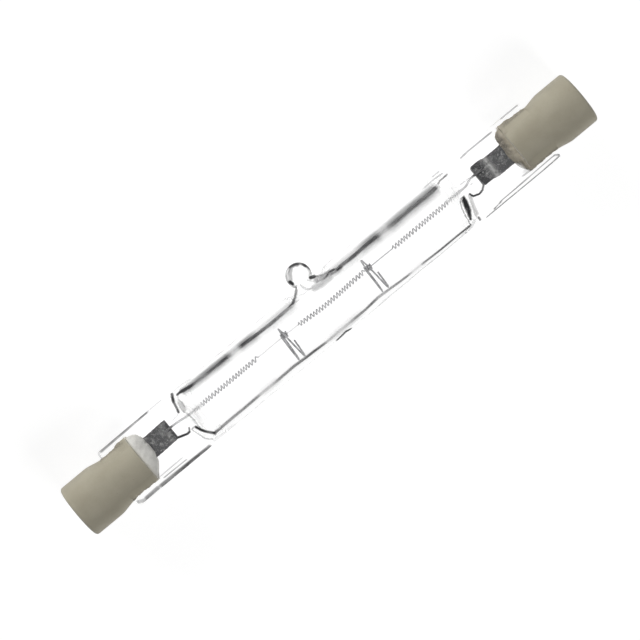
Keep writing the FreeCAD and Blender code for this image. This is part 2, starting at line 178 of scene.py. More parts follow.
def make_piece(name, points, faces, slot, stands_for, finishes, crease):
    """One mesh object of the lamp from lamp points, in place of CAD nodes. Edges that turn by more
    than crease degrees stay crisp."""
    mesh = bpy.data.meshes.new(name)
    mesh.from_pydata([tuple(p) for p in laid(points)], [], faces)
    work = bmesh.new()
    work.from_mesh(mesh)
    for face in work.faces:
        face.smooth = True
    for edge in work.edges:
        if len(edge.link_faces) == 2:
            edge.smooth = edge.calc_face_angle(0.0) < math.radians(crease)
    work.to_mesh(mesh)
    work.free()
    piece = add_object(name, mesh)
    finish_piece(piece, stands_for)
    for finish in finishes:
        mesh.materials.append(finish)
    return piece


def paint(piece, **marks):
    """Numbers at a piece's own points, under names that its finish reads."""
    for name, values in marks.items():
        piece.data.attributes.new(name, "FLOAT", "POINT").data.foreach_set("value", values)


def places_along(piece):
    """Where each point of a piece lies along the lamp, in millimetres."""
    return np.array([vertex.co.x for vertex in piece.data.vertices]) / MM


# %% [markdown]
# ## Shader sums written as Python
# A material is a small sum over a few patterns. A wrapped socket lets it be written as one:
# arithmetic on it adds the Math nodes. Every other node comes from one function, which sets the
# node's own options first and its sockets after that. The same function serves the node tree that
# winds the wires.

# %% Nodes from one function
class Level:
    """One number that varies over a surface."""

    def __init__(self, net, socket):
        self.net, self.socket = net, socket

    def maths(self, operation, first, second):
        node = self.net.add("ShaderNodeMath", {"operation": operation}, {0: first, 1: second})
        return Level(self.net, node.outputs[0])

    def __add__(self, other):
        return self.maths("ADD", self, other)

    def __sub__(self, other):
        return self.maths("SUBTRACT", self, other)

    def __rsub__(self, other):
        return self.maths("SUBTRACT", other, self)

    def __mul__(self, other):
        return self.maths("MULTIPLY", self, other)

    def __pow__(self, other):
        return self.maths("POWER", self, other)

    __radd__ = __add__
    __rmul__ = __mul__

    def step(self, low, high):
        """0 below low, 1 above high, smooth between. It also runs downwards if low is above high."""
        node = self.net.add("ShaderNodeMapRange", {"interpolation_type": "SMOOTHSTEP"},
                            {"Value": self, "From Min": low, "From Max": high})
        return Level(self.net, node.outputs["Result"])


def add_node(tree, kind, settings, values):
    """A node of a tree. Each socket takes a value, another node's socket or a Level."""
    node = tree.nodes.new(kind)
    for name, value in (settings or {}).items():
        setattr(node, name, value)
    for name, value in (values or {}).items():
        value = value.socket if isinstance(value, Level) else value
        if isinstance(value, bpy.types.NodeSocket):
            tree.links.new(value, node.inputs[name])
        else:
            node.inputs[name].default_value = value
    return node


print("nodes and sums ready")

# %% [markdown]
# ## A finish
# Each material, and the world too, is a Finish. Its methods give what the finishes below share:
# the lamp's own coordinates, numbers painted on the mesh, noise, blends of two colours, bumps and
# mixes of two shaders.

# %% Finish helper
class Finish:
    """A material, or the world, built from node sockets."""

    def __init__(self, name, owner=None):
        self.owner = owner or bpy.data.materials.new(name)
        self.owner.use_nodes = True
        self.tree = self.owner.node_tree
        self.tree.nodes.clear()

    def add(self, kind, settings=None, values=None):
        return add_node(self.tree, kind, settings, values)

    def level(self, node, output=0):
        return Level(self, node.outputs[output])

    def place(self, stretch=(1, 1, 1)):
        """Lamp coordinates in millimetres, with an optional stretch of the pattern."""
        coordinates = self.add("ShaderNodeTexCoord")
        node = self.add("ShaderNodeMapping", {"vector_type": "POINT"}, {
            "Vector": coordinates.outputs["Object"], "Rotation": (ROLL, 0, 0), "Scale": (1 / MM,) * 3})
        if stretch == (1, 1, 1):
            return node.outputs[0]
        node = self.add("ShaderNodeVectorMath", {"operation": "MULTIPLY"}, {0: node.outputs[0], 1: stretch})
        return node.outputs[0]

    def painted(self, name):
        """A number that the mesh carries at its points."""
        node = self.add("ShaderNodeAttribute", {"attribute_type": "GEOMETRY", "attribute_name": name})
        return self.level(node, "Fac")

    def noise(self, vector, scale, detail=3.0, roughness=0.55):
        node = self.add("ShaderNodeTexNoise", {"noise_dimensions": "3D"},
                        {"Vector": vector, "Scale": scale, "Detail": detail, "Roughness": roughness})
        return self.level(node, "Fac")

    def slant(self, sockets=None):
        """How far the surface leans away from the eye, 0 to 1, or how far a given normal does."""
        return self.level(self.add("ShaderNodeLayerWeight", {}, {"Blend": 0.5, **(sockets or {})}), "Facing")

    def blend(self, share, first, second):
        """A colour between two colours or colour sockets."""
        node = self.add("ShaderNodeMix", {"data_type": "RGBA", "blend_type": "MIX"},
                        {"Factor": share, 6: first, 7: second})
        return node.outputs[2]

    def bump(self, height, strength, distance):
        node = self.add("ShaderNodeBump", {}, {"Height": height, "Strength": strength, "Distance": distance})
        return node.outputs[0]

    def principled(self, values):
        return self.add("ShaderNodeBsdfPrincipled", {}, values)

    def mixed(self, share, first, second):
        """One shader with a share of a second one."""
        return self.add("ShaderNodeMixShader", {}, {
            "Fac": share, 1: first.outputs[0], 2: second.outputs[0]})

    def seen_directly(self):
        """1 where the camera sees a thing itself, through glass or in a reflection, else 0."""
        ray = self.add("ShaderNodeLightPath")
        camera, glossy, through = (self.level(ray, "Is " + kind + " Ray")
                                   for kind in ("Camera", "Glossy", "Transmission"))
        return (camera + glossy + through).step(0.0, 0.5)

    def surface(self, shader):
        """Make this shader the finish, and return the material or world."""
        kind = "World" if isinstance(self.owner, bpy.types.World) else "Material"
        self.add("ShaderNodeOutput" + kind, {}, {"Surface": shader.outputs[0]})
        return self.owner


print("finish helper ready")

# %% [markdown]
# ## Clear quartz
# Fused quartz bends light a little less than window glass, so its index is 1.46. In a bright studio
# the middle of the tube is invisible. What draws it are the places where light is turned aside: a
# line along each side, near the edge of the bore, the rim of the glass stub, and strokes at the
# pinches and the stub. There the glass is mixed with a dark shader, a painted shade that stands for
# the light turned aside. Where the line lies, how strong it is and how wide a veil it has comes with
# the mesh as painted numbers, and so do the strokes.
#
# On the outer wall the line is a narrow band of slant, and Layer Weight gives the slant from any side.
# Only the slant around the tube counts. A second Layer Weight measures how end-on the tube itself is
# seen, and that share is taken out, or the whole wall would go grey in a view along the lamp.
#
# Clear glass in many curved layers traps light that a studio would let out. Where the painted number
# "straight" is high, at the shoulders, the pinches' slopes and the neck, most of the light goes
# straight through. Shadow rays pass everywhere, because clear quartz throws hardly any shadow.

# %% Quartz finish
QUARTZ_INDEX = 1.46


def quartz_glass(net, dark):
    """Clear glass, mixed with a dark shader by a share, that lets shadow rays pass."""
    glass = net.principled({
        "Base Color": (1, 1, 1, 1), "Roughness": 0.0, "IOR": QUARTZ_INDEX, "Transmission Weight": 1.0})
    turned_aside = net.principled({
        "Base Color": (0.035, 0.035, 0.037, 1), "Roughness": 0.5, "Specular IOR Level": 0.1})
    clear = net.add("ShaderNodeBsdfTransparent")
    eased = net.mixed(net.painted("straight"), glass, clear)
    seen = net.mixed(dark, eased, turned_aside)
    shadow_ray = net.add("ShaderNodeLightPath").outputs["Is Shadow Ray"]
    return net.surface(net.mixed(shadow_ray, seen, clear))


def around_tube(net):
    """The slant that comes from the tube's roundness alone, without that of a view along the lamp."""
    along = net.add("ShaderNodeVectorTransform", {
        "vector_type": "VECTOR", "convert_from": "OBJECT", "convert_to": "WORLD"}, {0: tuple(ALONG)})
    end_on = 1 - net.slant({"Normal": along.outputs[0]})
    never_zero = 1.0001
    return 1 - (1 - net.slant()) * (never_zero - end_on * end_on) ** -0.5


def outside_finish():
    """Quartz with painted shade where light is turned aside: a dark line of a painted strength, at a painted
    slant, the stub's rim and painted strokes.
    """
    net = Finish("quartz_outside")
    # Painted shade: the line, its veil and the stub's rim stand for light turned aside in the glass.
    off = around_tube(net) - net.painted("ring_at")
    core = off.step(-0.075, -0.03) * off.step(0.075, 0.03)
    veil = off.step(-0.22, -0.03) * off.step(0.26, 0.08) * net.painted("veil")
    grain = net.noise(net.place((0.5, 1.5, 1.5)), 0.9, 2.0)
    ring = (core + veil * 0.8 * (1 - core)) * net.painted("ring") * (0.7 + grain * 0.6)
    rim = net.slant().step(0.26, 0.55) * net.painted("stub") * grain
    # painted shade strokes, where the glass turns light aside
    fold = net.painted("fold") * (0.6 + grain * 0.8)
    from_outside = 1 - net.level(net.add("ShaderNodeNewGeometry"), "Backfacing")
    return quartz_glass(net, (ring + rim + fold) * from_outside)


quartz_outside, quartz_bore = outside_finish(), quartz_glass(Finish("quartz_bore"), 0.0)
print("quartz finishes:", quartz_outside.name, quartz_bore.name)

# %% [markdown]
# ## The quartz body
# The envelope is a tube whose two ends are pressed flat while hot. Each cross-section is a rounded
# form between a circle and a flat bar, so one row of sections along the lamp gives the tube, the
# shoulders and the pinches with no seam. The bar has two ribs with a shallow tray between them,
# where the press came down.

# %% Form of the pinch
BLADE_WIDTH, RIB_HEIGHT, WEB_HEIGHT = 4.1, 1.5, 1.0
TRAY_SLOPE_ALONG, TRAY_SLOPE_ACROSS = (22.0, 24.2), (2.7, 3.6)
SHOULDER_START, SHOULDER_LENGTH = {-1: 19.8, 1: 19.0}, 2.8


def ease(value, low, high):
    """A smooth step from 0 at low to 1 at high."""
    t = np.clip((np.asarray(value, float) - low) / (high - low), 0, 1)
    return t * t * (3 - 2 * t)


def side_of(x):
    return -1 if x < 0 else 1


def tray_share(x, s):
    """1 on the tray's floor, 0 on the ribs, with softly sloping sides as hot quartz takes them."""
    return ease(np.abs(x), *TRAY_SLOPE_ALONG) * (1 - ease(np.abs(s), *TRAY_SLOPE_ACROSS))


def blade_height(x, s):
    """Half thickness of the pinch at a place, which the cement and the cap follow too."""
    return RIB_HEIGHT - (RIB_HEIGHT - WEB_HEIGHT) * tray_share(x, s)


print("web at the blade's end:", blade_height(BLADE_END, 0.0), "rib:", blade_height(BLADE_END, BLADE_WIDTH))

# %% [markdown]
# ## One section
# A superellipse goes from a circle to a bar with round corners by one power. Its points are set
# closer where the outline turns, because that is where facets would show in clear glass.

# %% Section points
FINE_STEPS, TURN_WEIGHT, SHARPEST_TURN = 1440, 0.12, 0.5


def ring_points(width, height, power, count, cut=None, reach=math.inf):
    """Points once around a rounded form, closer together where it turns. cut limits f for each s,
    and no corner stands out further than reach."""
    angle = np.linspace(0, 2 * math.pi, FINE_STEPS + 1)
    c, n = np.cos(angle), np.sin(angle)
    s = width * np.sign(c) * np.abs(c) ** (2 / power)
    f = height * np.sign(n) * np.abs(n) ** (2 / power)
    inwards = np.minimum(reach / np.hypot(s, f), 1)
    s, f = s * inwards, f * inwards
    if cut is not None:
        f = np.sign(f) * np.minimum(np.abs(f), cut(s))
    step = np.hypot(np.diff(s), np.diff(f))
    heading = np.unwrap(np.arctan2(np.diff(f), np.diff(s)))
    turn = np.abs(np.diff(np.append(heading, heading[0] + 2 * math.pi)))
    weight = step + TURN_WEIGHT * np.minimum(turn, SHARPEST_TURN)
    travelled = np.concatenate([[0], np.cumsum(weight)])
    at = np.linspace(0, travelled[-1], count + 1)[:-1]
    return np.stack([np.interp(at, travelled, s), np.interp(at, travelled, f)], 1)


def stations(marks):
    """Places along the lamp from (place, step up to the next place)."""
    places = []
    for (start, step), (end, _) in zip(marks, marks[1:]):
        count = max(round((end - start) / step), 1)
        places += [start + (end - start) * k / count for k in range(count)]
    return places + [marks[-1][0]]


print("a bar's corner point:", ring_points(4, 1.5, 13, 8)[1].round(2))

# %% [markdown]
# ## The outside
# A real tube is never quite even: the flame has drawn it a few hundredths of a millimetre thinner in
# places. That leaves the exhaust stub and the pinches alone, which keep their CAD sizes.

# %% Outer sections
AROUND_OUTSIDE = 216
END_ROUNDING, END_THINNING, CORNER_REACH = 0.35, 0.12, 0.26


def outer_ring(x):
    """The section at x: the even tube, pressed more and more past the shoulder, round at its end."""
    side, reach = side_of(x), abs(x)
    pressed = float(ease(reach, SHOULDER_START[side], SHOULDER_START[side] + SHOULDER_LENGTH))
    uneven = float(ease(abs(x - TIP_X), 3.4, 6.0)) * (1 - pressed)
    radius = TUBE_RADIUS - 0.03 * uneven * (1 + math.sin(x * 0.9 + 1.0) * math.sin(x * 0.37))
    past = max(reach - (BLADE_END - END_ROUNDING), 0) / END_ROUNDING
    corner = 1 - math.sqrt(max(1 - past * past, 0))
    width = radius + (BLADE_WIDTH - TUBE_RADIUS) * pressed - END_ROUNDING * corner
    height = radius + (RIB_HEIGHT - TUBE_RADIUS) * pressed - END_THINNING * corner
    power = 2 + 11 * pressed**2.2
    cut = (lambda s: blade_height(x, s)) if reach > TRAY_SLOPE_ALONG[0] else None
    return ring_points(width, height, power, AROUND_OUTSIDE, cut, TUBE_RADIUS + CORNER_REACH * pressed**3)


END_START = BLADE_END - END_ROUNDING
outer_x = stations([(-BLADE_END, 0.05), (-END_START, 0.3), (-24.2, 0.1), (-19.4, 0.4), (-3.4, 0.2),
                    (2.2, 0.4), (18.6, 0.1), (24.2, 0.3), (END_START, 0.05), (BLADE_END, 1)])
outer_points = np.array([(x, s, f) for x in outer_x for s, f in outer_ring(x)])
print("outer rings:", len(outer_x), "points", len(outer_points))

# %% [markdown]
# ## The stub of the exhaust tube
# The gas was drawn off through a thin side tube that was then melted shut, which left a glass ball on
# a short neck. A union of two solids would leave a hard seam in clear glass. So a square patch of
# the wall's own grid is taken out, and rings that start on its border close in on the stub's axis,
# first along the wall, then up the neck and over the ball.

# %% Patch on a wall
def patch_border(rows, half, around):
    """The points once around a square patch of a tube's grid, and the grid's cells inside it."""
    low, high = rows[0], rows[-1]

    def at(row, k):
        return row * around + k % around

    border = [at(row, -half) for row in range(low, high)] + [at(high, k) for k in range(-half, half)]
    border += [at(row, half) for row in range(high, low, -1)]
    border += [at(low, k) for k in range(half, -half, -1)]
    inside = {(row, k % around) for row in range(low, high) for k in range(-half, half)}
    return border, inside


def wall_patch(points, places, around, radius, reach, profile):
    """Replace a square patch of a tube's grid, at the tip's place, by rings that follow a profile.
    The profile is (radius from the tip's axis, height, share of its own height against the wall's)."""
    rows = [row for row, x in enumerate(places) if abs(x - TIP_X) <= reach + 1e-6]
    border, inside = patch_border(rows, round(reach / radius / (2 * math.pi / around)), around)
    faces = [face for row in range(len(places) - 1)
             for k, face in enumerate(tube_faces(2, around, row * around)) if (row, k) not in inside]
    forward, sideways = points[border][:, 0] - TIP_X, points[border][:, 2]
    angle, distance = np.arctan2(sideways, forward), np.hypot(forward, sideways)
    on_wall = [(distance + (profile[0][0] - distance) * t, 0.0, 0.0) for t in (0.35, 0.7)]
    count, last, layers = len(points), border, [points]
    n = len(border)
    for out, own_height, share in on_wall + profile:
        f = out * np.sin(angle)
        height = np.sqrt(radius**2 - f**2) * (1 - share) + own_height * share
        layers.append(np.stack([TIP_X + out * np.cos(angle), height, f], 1))
        ring = list(range(count, count + n))
        faces += [(last[(i + 1) % n], last[i], ring[i], ring[(i + 1) % n]) for i in range(n)]
        count, last = count + n, ring
    layers.append(np.array([[TIP_X, profile[-1][1], 0.0]]))
    faces += [(last[(i + 1) % n], last[i], count) for i in range(n)]
    return np.vstack(layers), faces


print("border of a small patch:", patch_border([0, 1], 1, 8)[0])

# %% [markdown]
# The foot of the neck is a quarter of an ellipse that leaves the wall flat and arrives upright, and
# the ball starts where it is as wide as the neck.

# %% The stub on the outside
NECK_RADIUS, FOOT_FLARE, FOOT_RINGS, BALL_RINGS = 1.27, 0.95, 12, 30
neck_angle = -math.acos(NECK_RADIUS / TIP_BALL_RADIUS)
neck_height = TIP_BALL_OFFSET + TIP_BALL_RADIUS * math.sin(neck_angle)
tip_profile = []
for k in range(FOOT_RINGS + 1):
    q = k / FOOT_RINGS * math.pi / 2
    tip_profile.append((NECK_RADIUS + FOOT_FLARE * (1 - math.sin(q)), neck_height, 1 - math.cos(q)))
for k in range(1, BALL_RINGS):
    a = neck_angle + (math.pi / 2 - neck_angle) * k / BALL_RINGS
    tip_profile.append((TIP_BALL_RADIUS * math.cos(a), TIP_BALL_OFFSET + TIP_BALL_RADIUS * math.sin(a), 1.0))
tip_profile.append((0.04, TIP_BALL_OFFSET + TIP_BALL_RADIUS, 1.0))

outer_shell, outer_faces = wall_patch(outer_points, outer_x, AROUND_OUTSIDE, TUBE_RADIUS, 2.7, tip_profile)
outer_faces = facing_out(outer_shell, outer_faces + end_faces(len(outer_points), AROUND_OUTSIDE))
print("stub top at", round(outer_shell[:, 1].max(), 3), "mm from the axis")

# %% [markdown]
# ## The hollow
# The bore narrows inside each shoulder to a flat pocket, which ends round, just short of the foil.
# Its wall is not quite even either, and it runs a little off the tube's middle. The remains of the
# exhaust hole are a small bubble with a hair-thin channel above it.

# %% Bore sections
AROUND_BORE = 112
BORE_RADIUS, POCKET_WIDTH, POCKET_HEIGHT = 3.05, 1.05, 0.45
POCKET_END, CAVITY_END = {-1: 23.9, 1: 23.2}, {-1: 22.0, 1: 20.9}
CAVITY_SHOULDER, CAVITY_WALL_GAP = 1.8, 1.3
BORE_WAVES = ((0.035, 7.3, 0.1), (0.02, 3.1, 0.4))  # height, length and start of each


def bore_drift(x):
    """How far the bore runs off the tube's middle."""
    return -0.2 * float(ease(x, 1.5, 10.0)) * (1 - float(ease(x, 17.8, 19.6)))


def bore_ring(x):
    side, reach = side_of(x), abs(x)
    uneven = float(ease(abs(x - TIP_X), 1.2, 3.0)) * (1 - float(ease(reach, 17.5, 19.5)))
    waves = sum(high * math.sin(2 * math.pi * (x / long + start)) for high, long, start in BORE_WAVES)
    radius = BORE_RADIUS + uneven * waves
    narrowed = float(ease(reach, CAVITY_END[side] - CAVITY_SHOULDER, CAVITY_END[side]))
    press_end = SHOULDER_START[side] + SHOULDER_LENGTH - CAVITY_WALL_GAP
    pressed = float(ease(reach, press_end - CAVITY_SHOULDER, press_end))
    width = radius + (POCKET_WIDTH - radius) * narrowed
    height = radius + (POCKET_HEIGHT - radius) * pressed
    past = max(reach - (POCKET_END[side] - POCKET_WIDTH), 0) / POCKET_WIDTH
    closing = math.sqrt(max(1 - past * past, 0.0004))
    power = 2 + 2.5 * max(narrowed, pressed)
    return ring_points(width * closing, height * closing**0.5, power, AROUND_BORE)


bore_x = stations([(-23.9, 0.02), (-23.82, 0.06), (-22.8, 0.1), (-19.2, 0.4), (-2.0, 0.14), (0.8, 0.4),
                   (18.2, 0.1), (22.2, 0.06), (23.12, 0.02), (23.2, 1)])
bore_points = np.array([(x, s + bore_drift(x), f) for x in bore_x for s, f in bore_ring(x)])
print("bore rings:", len(bore_x), "points", len(bore_points))

# %% The remains of the exhaust hole
bubble = [(0.13 + 0.35 * math.cos(k * math.pi / 14), 0.48 + 0.42 * math.sin(k * math.pi / 14), 1.0)
          for k in range(1, 8)]
mouth = [(0.78, 0.0, 0.0), (0.66, 0.03, 0.3), (0.57, 0.12, 0.9), (0.5, 0.3, 1.0), (0.48, 0.48, 1.0)]
channel = [(0.09, 1.15, 1.0), (0.06, 1.45, 1.0), (0.02, 1.5, 1.0)]
hole_profile = [(out, BORE_RADIUS + above, share) for out, above, share in mouth + bubble + channel]
bore_shell, bore_faces = wall_patch(bore_points, bore_x, AROUND_BORE, BORE_RADIUS, 1.0, hole_profile)
bore_faces = facing_out(bore_shell, bore_faces + end_faces(len(bore_points), AROUND_BORE), inwards=True)
print("channel ends", round(bore_shell[:, 1].max(), 3), "mm from the axis")

# %% [markdown]
# The outside and the hollow are two closed shells of one mesh. The hollow's faces look into the
# hollow, which is away from the quartz, so light bends the right way at both.

# %% The quartz body as one mesh
quartz_body = make_piece("quartz_body", *join_shells((outer_shell, outer_faces), (bore_shell, bore_faces)),
                         "quartz", ["quartz_envelope"], [quartz_outside, quartz_bore], crease=60)
for face in quartz_body.data.polygons:
    face.material_index = 1 if face.index >= len(outer_faces) else 0

# %% [markdown]
# ## The dark lines along the tube
# The finish needs to know where the dark line runs on each side and how strong it is. Rows of
# (place, value) along the lamp give its height above the middle, its strength and its veil, for the
# tip's side (1) and the other side (-1). They were read off the photograph, in millimetres.

# %% Rows along the tube
RING_HEIGHT = {
    1: [(-20.4, 3.25), (-19.0, 3.1), (-16, 3.02), (-13, 3.0), (-9, 2.83), (-7, 2.73), (-4, 2.76),
        (3, 2.68), (6, 2.64), (8, 2.72), (11, 2.62), (19, 2.62)],
    -1: [(-20, 3.12), (-11, 3.1), (-8, 3.06), (-5, 3.2), (-3, 3.3), (3, 3.28), (5, 3.14), (8, 3.36),
         (9.5, 3.42), (15, 3.53), (19, 3.55)]}
RING_SHARE = {
    1: [(-20.6, 0), (-20.1, 0.9), (-13.3, 0.9), (-12.7, 0.5), (-11.8, 0.5), (-11.2, 0.98), (-9, 0.95),
        (-8, 0.85), (-4.5, 0.8), (-3.6, 0.6), (-2.6, 0), (2.2, 0), (3.5, 0.8), (5, 0.88), (9.6, 0.97),
        (10.1, 0.6), (11.2, 0.6), (11.5, 0.8), (18.6, 0.9), (19.3, 0)],
    -1: [(-20.7, 0), (-20.3, 0.82), (-14, 0.75), (-13, 0.45), (-11.6, 0.45), (-10.2, 0.72), (-3.6, 0.9),
         (-3, 0.5), (0.4, 0.5), (1.5, 0.8), (4.2, 0.85), (5.2, 0.55), (7, 0.72), (9.4, 0.78), (10.1, 0.3),
         (11.5, 0.3), (11.9, 0.85), (18.9, 0.9), (19.3, 0)]}
VEIL_SHARE = {
    1: [(-21, 0.8), (-16, 1), (-12.5, 1), (-9.4, 0.8), (-8.6, 0.4), (-5, 0.5), (-3, 0.9), (3, 0.6),
        (4, 0.45), (6.5, 0.5), (7.5, 0.85), (9.6, 1), (11, 1), (18, 1), (19.3, 0.4)],
    -1: [(-20, 0.15), (-13.5, 0.15), (-12.5, 0.6), (-11, 0.5), (-10, 0.15), (-3.4, 0.15), (-1.5, 0.8),
         (1, 0.6), (3, 0.1), (9.6, 0.1), (10.2, 0.5), (11.5, 0.5), (12.2, 0.1), (19, 0.1)]}


def two_sided(table, x, s):
    """The tip side's row where s is positive, the other side's where it is negative."""
    upper, lower = (np.interp(x, *zip(*table[way])) for way in (1, -1))
    share = ease(s, -1.5, 1.5)
    return upper * share + lower * (1 - share)


print("the line's height in the middle:", two_sided(RING_HEIGHT, np.zeros(2), np.array([4, -4])).round(2))

# %% [markdown]
# Five numbers follow from where a point lies. ring_at is the slant at which the line's height is
# seen, ring and veil are the strength of the line and of its veil, stub marks the rim of the glass
# stub, and straight marks where light goes straight through. The bore carries no line of its own.

# %% Numbers painted on the quartz
x, s, f = np.vstack([outer_shell, bore_shell]).T
on_bore = np.arange(len(x)) >= len(outer_shell)
reach, from_tip = np.abs(x), np.hypot(x - TIP_X, f)
ring_at = 1 - np.sqrt(1 - (two_sided(RING_HEIGHT, x, s) / TUBE_RADIUS) ** 2)
ring = np.where(on_bore, 0, two_sided(RING_SHARE, x, s))
stub = np.where(on_bore, 0, ease(s, 4.0, 4.25) * (from_tip < 1.75))
shoulder = ease(reach - np.where(x < 0, 0.8, 0), 18.3, 19.0) * (1 - ease(reach, 24.2, 24.8))
blade_slope = ease(reach, 22, 24.5) * ease(np.abs(s), 2.3, 2.7)
neck = (1 - ease(from_tip, 2.7, 3.4)) * ease(s, 2.75, 3.0) * (1 - ease(s, 4.1, 4.5))
straight = np.maximum(np.maximum(0.88 * shoulder, 0.8 * blade_slope), 0.95 * neck)
paint(quartz_body, ring_at=ring_at, ring=ring, veil=two_sided(VEIL_SHARE, x, s), stub=stub, straight=straight)
print("line painted on", int((ring > 0.01).sum()), "points")

# %% [markdown]
# ## Painted shade strokes in the glass
# Where pressed or melted quartz turns light aside, short strokes of painted shade stand for it. Each is
# a path across the upper face with a half width and a darkness, placed after the photograph.
# A darkness above 1 leaves the stroke black after the grain has thinned it.

# %% Painted shade strokes at the pinches and the stub
# Each stroke is painted shade that stands for light bent aside in the glass.
LEFT_REFRACTION_SHADES = [  # half width, darkness, path of (x, s)
    (0.17, 0.75, [(-32.2, 3.88), (-28.8, 3.95), (-25, 4.02)]), (0.08, 0.3, [(-25, 4.05), (-22.8, 4.05)]),
    (0.24, 0.5, [(-32.7, -3.6), (-32, -3.9), (-31, -3.85)]), (0.25, 0.8, [(-31.6, -3.85), (-29.7, -3.8)]),
    (0.27, 0.85, [(-29.3, -3.85), (-26, -3.9), (-21.9, -3.98)]),
    (0.08, 0.65, [(-28.4, -3.35), (-25, -3.38)]), (0.07, 0.4, [(-28.8, -2.95), (-25.2, -2.9)]),
    (0.15, 0.25, [(-32.75, 3.3), (-32.7, 3.85), (-32.2, 4)]),
    (0.21, 1.0, [(-21.35, 3.72), (-21.75, 2.9)]),
    (0.17, 0.9, [(-21.75, 2.9), (-21.95, 2.1), (-22.1, 1.6)]),
    (0.11, 0.6, [(-21.1, 2.7), (-20.98, 2.2), (-21.05, 1.6)]),
    (0.1, 0.5, [(-21.3, 2.5), (-21.58, 1.8), (-21.55, 1.1)]), (0.33, 0.42, [(-21.2, 2.3), (-21.3, 1.4)]),
    (0.12, 0.2, [(-21, 4), (-19.5, 3.97), (-18.6, 3.7)]), (0.09, 0.35, [(-20.9, 3.1), (-21.1, 2.7)]),
    (0.18, 1.0, [(-20.4, -2.98), (-20.9, -2.4), (-21.3, -1.8), (-21.6, -1.1)]),
    (0.09, 0.45, [(-22.2, -1.1), (-21.95, -1.9), (-21.6, -2.9), (-21, -3.5)]),
    (0.09, 0.5, [(-21.35, 0.5), (-21.15, -0.3), (-21.3, -1.1), (-21.1, -2.1), (-20.7, -2.9)]),
    (0.15, 1.2, [(-24, -0.75), (-23.4, -0.95), (-22.9, -1.1), (-22.6, -1.05)]),
    (0.11, 0.9, [(-22.6, -1.05), (-22.3, -0.65)]), (0.1, 0.6, [(-22.2, -1.05), (-21.9, -0.95)]),
    (0.25, 0.15, [(-20.9, -3.7), (-20, -3.85), (-18, -3.85)]),
    (0.07, 0.3, [(-23.3, 1.3), (-22.6, 1.35), (-22, 1.6)]),
    (0.13, 0.32, [(-21.4, 1), (-21.25, 0.2), (-21.3, -0.6)]),
    (0.16, 0.9, [(-20.85, 3.3), (-20.2, 3.29), (-19.1, 3.1)])]
STUB_REFRACTION_SHADES = [  # half width, darkness, path of (x, s)
    (0.12, 0.5, [(-3.7, 2.83), (-3.2, 2.9)]), (0.19, 0.8, [(-3.1, 2.95), (-2.6, 3.22), (-1.95, 3.8)]),
    (0.1, 0.8, [(-1.9, 3.85), (-1.72, 4.1)]), (0.25, 1.1, [(0.35, 3.87), (0.75, 3.72)]),
    (0.14, 0.75, [(0.8, 3.7), (1.3, 3.35), (2.2, 3.05), (3.1, 2.85)]),
    (0.45, 0.62, [(0.75, 3.15), (1.6, 2.95), (2.5, 2.8)]),
    (0.45, 0.48, [(-0.1, 2.6), (0.8, 2.4), (2.1, 2.42)]), (0.33, 0.3, [(2.2, 2.42), (3.6, 2.38)]),
    (0.12, 0.5, [(-1.15, 3.95), (-1.1, 3.5), (-0.85, 3.05), (-0.4, 2.75)]),
    (0.1, 0.4, [(-0.1, 3.9), (0.2, 3.4), (0.5, 3)]), (0.22, 0.95, [(-1.85, 5.05), (-1.78, 4.7)]),
    (0.25, 0.6, [(-0.7, 6.35), (-0.2, 6.3), (0.1, 6.1)]), (0.16, 0.25, [(0.1, 6.15), (0.6, 5.9)]),
    (0.2, 0.55, [(0.66, 5.75), (0.8, 5.35)]),
    (0.12, 0.35, [(0.85, 5.3), (0.93, 5), (0.93, 4.5), (0.75, 4.1)]),
    (0.27, 0.5, [(-1.65, 5.2), (-1.25, 5.8), (-0.8, 6.2)]),
    (0.12, 1.0, [(-2, -3.92), (-1.2, -3.86), (-0.5, -3.78), (0.2, -3.95)])]
RIGHT_REFRACTION_SHADES = [  # half width, darkness, path of (x, s)
    (0.07, 0.8, [(19.1, -3.45), (19.17, -2.9), (19.25, -2.2), (19.45, -1.3),
                 (19.8, -0.6), (20.2, -0.35), (20.7, -0.35)]),
    (0.18, 1.1, [(19.5, -2.95), (19.65, -2.6)]), (0.28, 1.1, [(19.65, -2.6), (19.85, -2.15)]),
    (0.38, 1.1, [(19.92, -2), (20.12, -1.4), (20.3, -0.85)]), (0.22, 1.1, [(20.35, -0.8), (20.48, -0.5)]),
    (0.15, 0.75, [(20.4, -3.75), (20.38, -3.4)]),
    (0.12, 0.45, [(20.3, -3.4), (20.25, -2.9), (20.5, -2.4)]),
    (0.27, 0.42, [(20.5, -2.9), (20.75, -2), (21.05, -1.3), (21.25, -0.8)]),
    (0.22, 0.25, [(19.8, -3.4), (19.2, -3.7), (17.8, -3.9)]),
    (0.13, 1.0, [(21.4, -0.6), (21.55, -1.05), (22.3, -1.32), (22.9, -1.2), (23.35, -0.85)]),
    (0.07, 0.35, [(21.2, 1), (22.2, 0.95), (23.4, 0.75)]), (0.1, 0.3, [(22.2, 0.2), (22.5, 0.2)]),
    (0.12, 0.45, [(27.8, -3), (29.3, -3.08)]), (0.3, 0.25, [(28.3, -2.7), (29, -2.8)]),
    (0.1, 0.8, [(19.2, 2.75), (19.6, 2.92), (20, 2.9), (20.8, 2.95)]),
    (0.1, 0.5, [(17.5, 3.45), (19, 3.5), (20.4, 3.4)]), (0.1, 0.4, [(19.3, 3.85), (20.3, 3.85)]),
    (0.07, 0.8, [(22.5, -3.85), (24.2, -3.6), (28, -3.55), (32.3, -3.5)]),
    (0.08, 0.8, [(21.2, -4.03), (24, -4.03), (30, -4.05), (32.6, -3.95)]),
    (0.1, 0.8, [(32.2, -3.5), (32.65, -3.8)]), (0.1, 0.65, [(23.3, 3.4), (24.5, 3.5), (28, 3.45)]),
    (0.08, 0.45, [(30, 3.95), (32.6, 3.95)])]
REFRACTION_SHADES = LEFT_REFRACTION_SHADES + STUB_REFRACTION_SHADES + RIGHT_REFRACTION_SHADES


